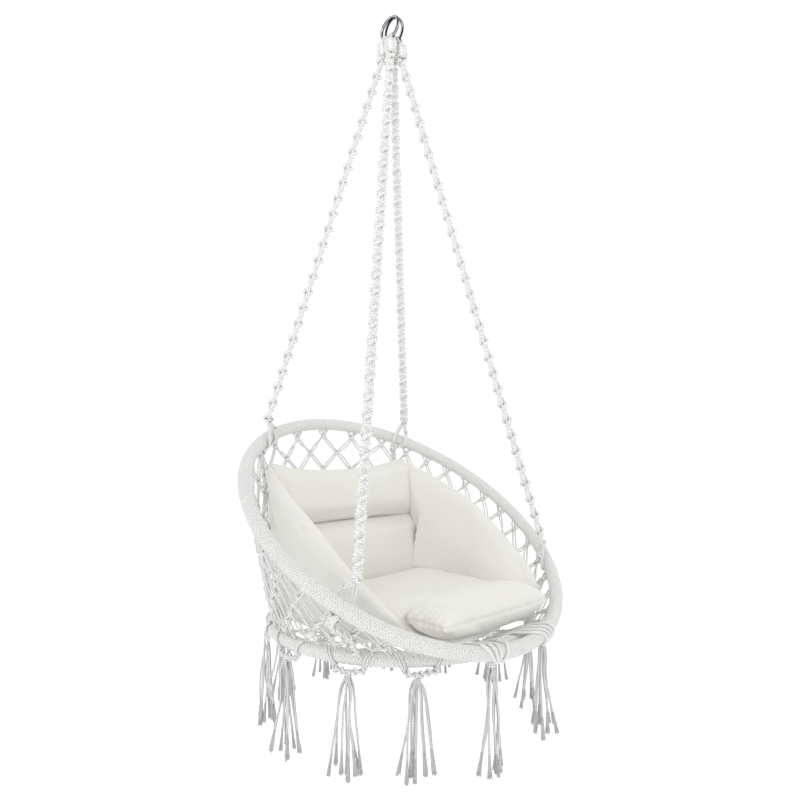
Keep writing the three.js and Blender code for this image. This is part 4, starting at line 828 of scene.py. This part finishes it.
for i in range(12):
    turn = TASSEL_TURN + 2 * np.pi * i / 12
    out = np.array([np.cos(turn), np.sin(turn), 0])
    along = np.array([-np.sin(turn), np.cos(turn), 0])
    below = out * 0.5 - [0, 0, np.sqrt(0.75)]
    sway = SWAY.get(i, 0.0)
    if i in BINDING:
        # Eight cords start at the seat net, pass over the lower hoop and round the upper one's outer face,
        # and close in on the gather, which hangs between the two.
        step_out, step_up = rim_step(turn)
        middle = hoop_point(LOWER, turn) + sway * along + GATHER_SHARE * step_out * out
        middle = middle + [0, 0, GATHER_SHARE * step_up - SLEEVE_RADIUS - 0.007]
        closing = BINDING_CLOSING.copy()
        closing[:-1] = np.maximum(closing[:-1], BINDING_SLANT[i])
        aside = np.repeat(BINDING[i], 2) + np.tile([-0.0025, 0.0025], 4)
        bearing = turn + (sway + aside[:, None] * closing) / LOWER["radius"]
        step_out, step_up = rim_step(bearing)
        across, upright = BINDING_OUT + step_out * UPPER_SHARE, BINDING_UP + step_up * UPPER_SHARE
        cords = hoop_point(LOWER, bearing) + np.stack([
            across * np.cos(bearing), across * np.sin(bearing), upright], -1)
        parts = [
            carry(through(cords, 46), BINDING_CORD, out, 8, paint=COTTON_PAINT),
            coil(middle + [0, 0, 0.003], np.array([0, 0, 1.0]), 0.0085, along, 0.0075, 0.007, 1.6,
                 BINDING_CORD, 0.001, COTTON_PAINT)]
    else:
        middle = hoop_point(LOWER, turn) + below * (SLEEVE_RADIUS + SWAG_DROP) + sway * along
        feet = hoop_point(LOWER, turn + (0.7 * sway + np.array([-1, 1]) * SWAG_SPAN) / LOWER["radius"])
        high, low = feet + below * (SLEEVE_RADIUS - 0.002), feet + below * (SLEEVE_RADIUS + 0.008)
        before, after = (middle + way * along * 0.013 + [0, 0, 0.003] for way in (-1, 1))
        swag = through([high[0], low[0], before, middle - [0, 0, 0.001], after, low[1], high[1]], 40)
        wound = (SLEEVE_RADIUS + 0.0019) * (np.cos(TIE_ROUND) * out + np.sin(TIE_ROUND) * [0, 0, 1])
        ties = []
        for foot, way in zip(feet, (-1, 1)):
            for aside in (-0.0027, 0.0027):
                ties.append(foot + wound + (aside + way * TIE_OPEN) * along)
        parts = [
            carry(*knotted(swag, out, *SWAG_KNOTS), 6, paint=COTTON_PAINT),
            carry(ties, TIE_CORD, out, 6, paint=COTTON_PAINT),
            coil(feet + below * (SLEEVE_RADIUS + 0.004), along, 0.0058, below, 0.005, 0.006, 1.6,
                 TIE_CORD, 0.001, COTTON_PAINT)]

    folds = 4 + i % 2
    length = TAIL + TAIL_EXTRA.get(i, 0.0) - BRUSH
    rank = (np.arange(folds) - (folds - 1) / 2)[:, None] * STRAND_STEP
    tails = []
    for way in (-1, 1):
        apart = way * np.abs(shaker.normal(0.011, 0.005, folds))[:, None]
        astray = rank * 2.9 + shaker.normal(0, 0.0045, folds)[:, None]
        tails.append((way, apart, astray, shaker.uniform(0, 0.018, folds)[:, None]))
    lines = []
    for way, apart, astray, trim in tails:
        line = [middle + rank * 0.6 * along + way * 0.004 * out - [0, 0, 0.009]]
        for share, fall, stray in ((0.4, 0.22, 0.0015), (0.62, 0.58, 0.0025), (1, 1, 0)):
            spot = middle + apart * share * out + (rank * 0.55 * (1 - share) + astray * share) * along
            spot = spot - (length - trim) * fall * np.array([0, 0, 1])
            line.append(spot + shaker.normal(0, stray, (folds, 3)) if stray else spot)
        lines.append(np.stack(line, 1))
    top = (middle + rank * 0.7 * along + [0, 0, 0.0035])[:, None]
    folded = np.concatenate([lines[0][:, ::-1], top, lines[1]], 1)
    parts.append(carry(through(folded, 56), STRAND, along, 6, paint=BRAID_PAINT))

    ends = np.concatenate(lines)
    heading = unit(ends[:, -1] - ends[:, -2])[:, None, None]
    fan = 2 * np.pi * np.arange(FIBRES) / FIBRES
    spin = (np.cos(fan)[:, None] * out + np.sin(fan)[:, None] * along)[None, :, None]
    reach = shaker.uniform(0.25, 1, (len(ends), FIBRES, 1, 1))
    run = BRUSH * shaker.uniform(0.9, 1, (len(ends), FIBRES, 1, 1))
    t = np.linspace(0, 1, 5)[:, None]
    fibre = ends[:, -1, None, None] + heading * t * run + spin * reach * (0.0016 + 0.0034 * t ** 1.6)
    parts.append(carry(fibre.reshape(-1, 5, 3), FIBRE_RADIUS[:, None], along, 4, paint=FRAYED_PAINT))
    node = f"tassel_{i + 1:02d}"
    piece(node + "_strands", parts, "chair", [braid, frayed, cotton], "cord", node)

# Bucket cushion
# A one-piece bucket of off-white cotton stuffed with fibre: a seat pad, two rolls across the back and two
# wings that lean on the net, sewn together along their edges. It is only laid in the seat. The loose pillow
# in front of it is made the same way.
CUSHION_VOXEL = 0.0055
PRESSURE = 4
CLOTH_STEPS = 20
WING_FRONT, WING_FRONT_RUN = -0.15, 0.086
WING_FOOT, WING_FOOT_RUN = -1.42, 0.06
AS_IT_IS, WING_DRAW = (0, 0, 0), (0.024, 0.03, 0.026)
SEAM_GROOVE = 0.004
ROLL_PLUMP, ROLL_END = 0.011, 0.05
PAD_SEAM_DROP = 0.02
WING_SLACK, WING_SLACK_PITCH = 0.0012, 0.019
WING_SLACK_FRONT, WING_SLACK_BACK = 0.05, 0.03
TUCK_DEPTH, TUCK_PITCH, TUCK_REACH = 0.006, 0.021, 0.024


def settle(made):
    """Applies an object's modifiers to its mesh."""
    evaluated = made.evaluated_get(bpy.context.evaluated_depsgraph_get())
    mesh = bpy.data.meshes.new_from_object(evaluated)
    made.modifiers.clear()
    made.data = mesh


def vertices(made, what="co"):
    """An object's points, or their normals, as rows."""
    flat = np.empty(len(made.data.vertices) * 3, np.float32)
    made.data.vertices.foreach_get(what, flat)
    return flat.reshape(-1, 3).astype(float)


def move_to(made, points):
    """Gives an object's points new places."""
    made.data.vertices.foreach_set("co", points.ravel().astype(np.float32))
    made.data.update()


def blow_up(made):
    """Swells a cover with a pressure from inside, as cloth without weight."""
    cloth = made.modifiers.new("cloth", "CLOTH")
    cloth.settings.quality = 4
    cloth.settings.mass = 0.3
    cloth.settings.use_pressure = True
    cloth.settings.uniform_pressure_force = PRESSURE
    cloth.settings.tension_stiffness = cloth.settings.compression_stiffness = 12
    cloth.settings.bending_stiffness = 0.4
    cloth.settings.effector_weights.gravity = 0
    cloth.collision_settings.use_collision = False
    cloth.point_cache.frame_start, cloth.point_cache.frame_end = 1, CLOTH_STEPS
    for step in range(1, CLOTH_STEPS + 1):
        bpy.context.scene.frame_set(step)
    settle(made)
    bpy.context.scene.frame_set(1)


def stuffed(node, body, ease, grow, draw, cap, gather):
    """A stuffed cover from a CAD solid: a finely remeshed copy, eased a little and blown up as cloth.

    It is grown and drawn out first, so that it meets the pieces that it is sewn to. How far a point may then
    move is capped, and the rest of the room is left to its neighbours. The mesh is subdivided once, and
    gather says how far each point sinks below the cover at its seams and creases.
    """
    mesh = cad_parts[node].data.copy()
    mesh.materials.clear()
    made = bpy.data.objects.new(node + "_cover", mesh)
    bpy.context.scene.collection.objects.link(made)
    bpy.context.view_layer.objects.active = made
    weld = made.modifiers.new("weld", "WELD")
    weld.merge_threshold = 0.00002
    remesh = made.modifiers.new("remesh", "REMESH")
    remesh.mode, remesh.voxel_size = "VOXEL", CUSHION_VOXEL
    smooth = made.modifiers.new("smooth", "SMOOTH")
    smooth.factor, smooth.iterations = 0.5, 4
    room = made.modifiers.new("ease", "DISPLACE")
    room.strength, room.mid_level = ease, 0
    settle(made)
    rest = drawn_out(grown(vertices(made), *grow), *draw)
    move_to(made, rest)
    blow_up(made)
    moved = vertices(made) - rest
    length = np.linalg.norm(moved, axis=-1, keepdims=True)
    move_to(made, rest + moved * np.minimum(1, cap / np.maximum(length, 1e-9)))
    finer = made.modifiers.new("finer", "SUBSURF")
    finer.levels = finer.render_levels = 1
    settle(made)
    skin, outward = vertices(made), vertices(made, "normal")
    low, high = (np.array(corner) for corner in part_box(node))
    move_to(made, skin - gather(skin, outward, low, high)[:, None] * outward)
    made.data.polygons.foreach_set("use_smooth", np.ones(len(made.data.polygons), bool))
    made.data.materials.append(cushion_cotton.material)
    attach(made, body)
    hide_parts(node)


def grown(p, sideways, upwards):
    """Points pushed out at a piece's sides and at its top and bottom, by their share of its half size."""
    low, high = p.min(0), p.max(0)
    share = (2 * p - low - high) / (high - low)
    return p + share * [sideways, 0, upwards]


def drawn_out(p, inwards, forwards, downwards):
    """Points drawn out at a piece's front end, by a pull that grows with a power of the way to the end."""
    front = np.clip((WING_FRONT - p[:, 1]) / WING_FRONT_RUN, 0, 1) ** 1.5
    high = np.clip((p[:, 2] - WING_FOOT) / WING_FOOT_RUN, 0, 1)
    pull = np.stack([-np.sign(p[:, 0]) * inwards, np.full(len(p), -forwards), -downwards * high], -1)
    return p + front[:, None] * pull


def gathers(away, run, depth, pitch, reach):
    """How far cloth sinks near a seam: a groove at it, and uneven folds that run out from it and fade."""
    groove = np.exp(-(away / SEAM_GROOVE) ** 2)
    uneven = run + 0.3 * pitch * np.sin(run * 61) + 0.2 * pitch * np.sin(run * 23 + 1)
    fold = 0.5 + 0.5 * np.sin(2 * np.pi * uneven / pitch)
    return depth * (groove + 0.55 * fold * np.exp(-np.abs(away) / reach))


def roll_gather(p, outward, low, high):
    """A roll is plump in front. It is drawn in at its two ends, with folds that run along it."""
    level = np.clip((2 * p[:, 2] - low[2] - high[2]) / (high[2] - low[2]), -1, 1)
    edge = high[0] - np.abs(p[:, 0])
    end = np.clip(edge / ROLL_END, 0, 1)
    plump = ROLL_PLUMP * (1 - level ** 2) * np.clip(-1.4 * outward[:, 1], 0, 1) * end * (2 - end)
    return gathers(edge, p[:, 2] - 0.7 * p[:, 1], depth=0.0016, pitch=0.024, reach=0.022) - plump


def pad_gather(p, outward, low, high):
    """The seat pad has a seam round its upper edge with short folds."""
    seam = p[:, 2] - high[2] + PAD_SEAM_DROP
    return gathers(seam, p[:, 0] + p[:, 1], depth=0.001, pitch=0.03, reach=0.012)


def wing_gather(p, outward, low, high):
    """A wing has a few slack folds that run down to its front and back ends."""
    front = np.exp(-(p[:, 1] - low[1]) / WING_SLACK_FRONT)
    back = np.exp(-(high[1] - p[:, 1]) / WING_SLACK_BACK)
    run = p[:, 2] - 0.45 * p[:, 1] + 0.004 * np.sin(p[:, 1] * 55)
    fold = 0.5 + 0.5 * np.sin(2 * np.pi * run / WING_SLACK_PITCH)
    return WING_SLACK * (front + 0.8 * back) * fold


def pillow_gather(p, outward, low, high):
    """The pillow's seam runs round its middle, and its corners are tucked in with short folds."""
    middle, half = (low + high) / 2, (high - low) / 2
    end = np.exp(-(half[0] - np.abs(p[:, 0] - middle[0])) / TUCK_REACH)
    run = p[:, 1] * 1.3 + 0.5 * p[:, 0] + 0.004 * np.sin(p[:, 1] * 90)
    tucks = TUCK_DEPTH * end * (0.5 + 0.5 * np.sin(2 * np.pi * run / TUCK_PITCH))
    seam, along = p[:, 2] - middle[2], p[:, 0] + 0.8 * np.abs(p[:, 1])
    return gathers(seam, along, depth=0.0026, pitch=0.023, reach=0.014) + tucks


cushion_cotton = Finish("cushion_cotton", Roughness=0.9, Sheen_Weight=0.2, Sheen_Roughness=0.5)
where = cushion_cotton.node("TexCoord", {}, "Object")
warp, weft = (cushion_cotton.node(
    "TexWave", {"Vector": where, "Scale": 260, "Distortion": 0.6, "Detail": 1, "Detail Scale": 3},
    "Fac", bands_direction=way) for way in "XZ")
creases = cushion_cotton.noise(11, 4, where)
cushion_cotton.looks(
    Base_Color=cushion_cotton.node(
        "ValToRGB", {"Fac": cushion_cotton.noise(5, 3, where)},
        stops=[(0.3, (0.8, 0.789, 0.744)), (0.7, (0.83, 0.82, 0.778))]),
    Normal=cushion_cotton.relief(creases * 7 + (warp + weft) * 0.12, 0.0012),
)
for node, body, ease, grow, draw, cap, fill, gather in (
    ("seat_pad", "cushion", 0.0005, (0.016, 0), AS_IT_IS, 0.007, 0.7, pad_gather),
    ("back_roll_lower", "cushion", 0.0025, (0.016, 0.0065), AS_IT_IS, 0.008, 0.8, roll_gather),
    ("back_roll_upper", "cushion", 0.0025, (0.0145, 0.0065), AS_IT_IS, 0.008, 0.8, roll_gather),
    ("wing_left", "cushion", 0.0, (0, 0), WING_DRAW, 0.006, 0.6, wing_gather),
    ("wing_right", "cushion", 0.0, (0, 0), WING_DRAW, 0.006, 0.6, wing_gather),
    ("front_pillow", "pillow", -0.001, (0, 0), AS_IT_IS, 0.006, 0.7, pillow_gather),
):
    stuffed(node, body, ease, grow, draw, cap, gather)

# Floor
# A plain white floor well under the tassels, a little bright of itself. It belongs to the studio and is no
# part of the chair.
FLOOR_Z = -2.1
FLOOR_HALF = 9

plain = Finish(
    "floor_white", Base_Color=(0.95, 0.95, 0.95, 1), Roughness=0.9,
    Emission_Color=(1, 1, 1, 1), Emission_Strength=0.16)
mesh = bpy.data.meshes.new("floor")
spots = [(x * FLOOR_HALF, y * FLOOR_HALF, FLOOR_Z) for x, y in ((-1, -1), (1, -1), (1, 1), (-1, 1))]
mesh.from_pydata(spots, [], [(0, 1, 2, 3)])
mesh.materials.append(plain.material)
floor = bpy.data.objects.new("floor", mesh)
bpy.context.scene.collection.objects.link(floor)
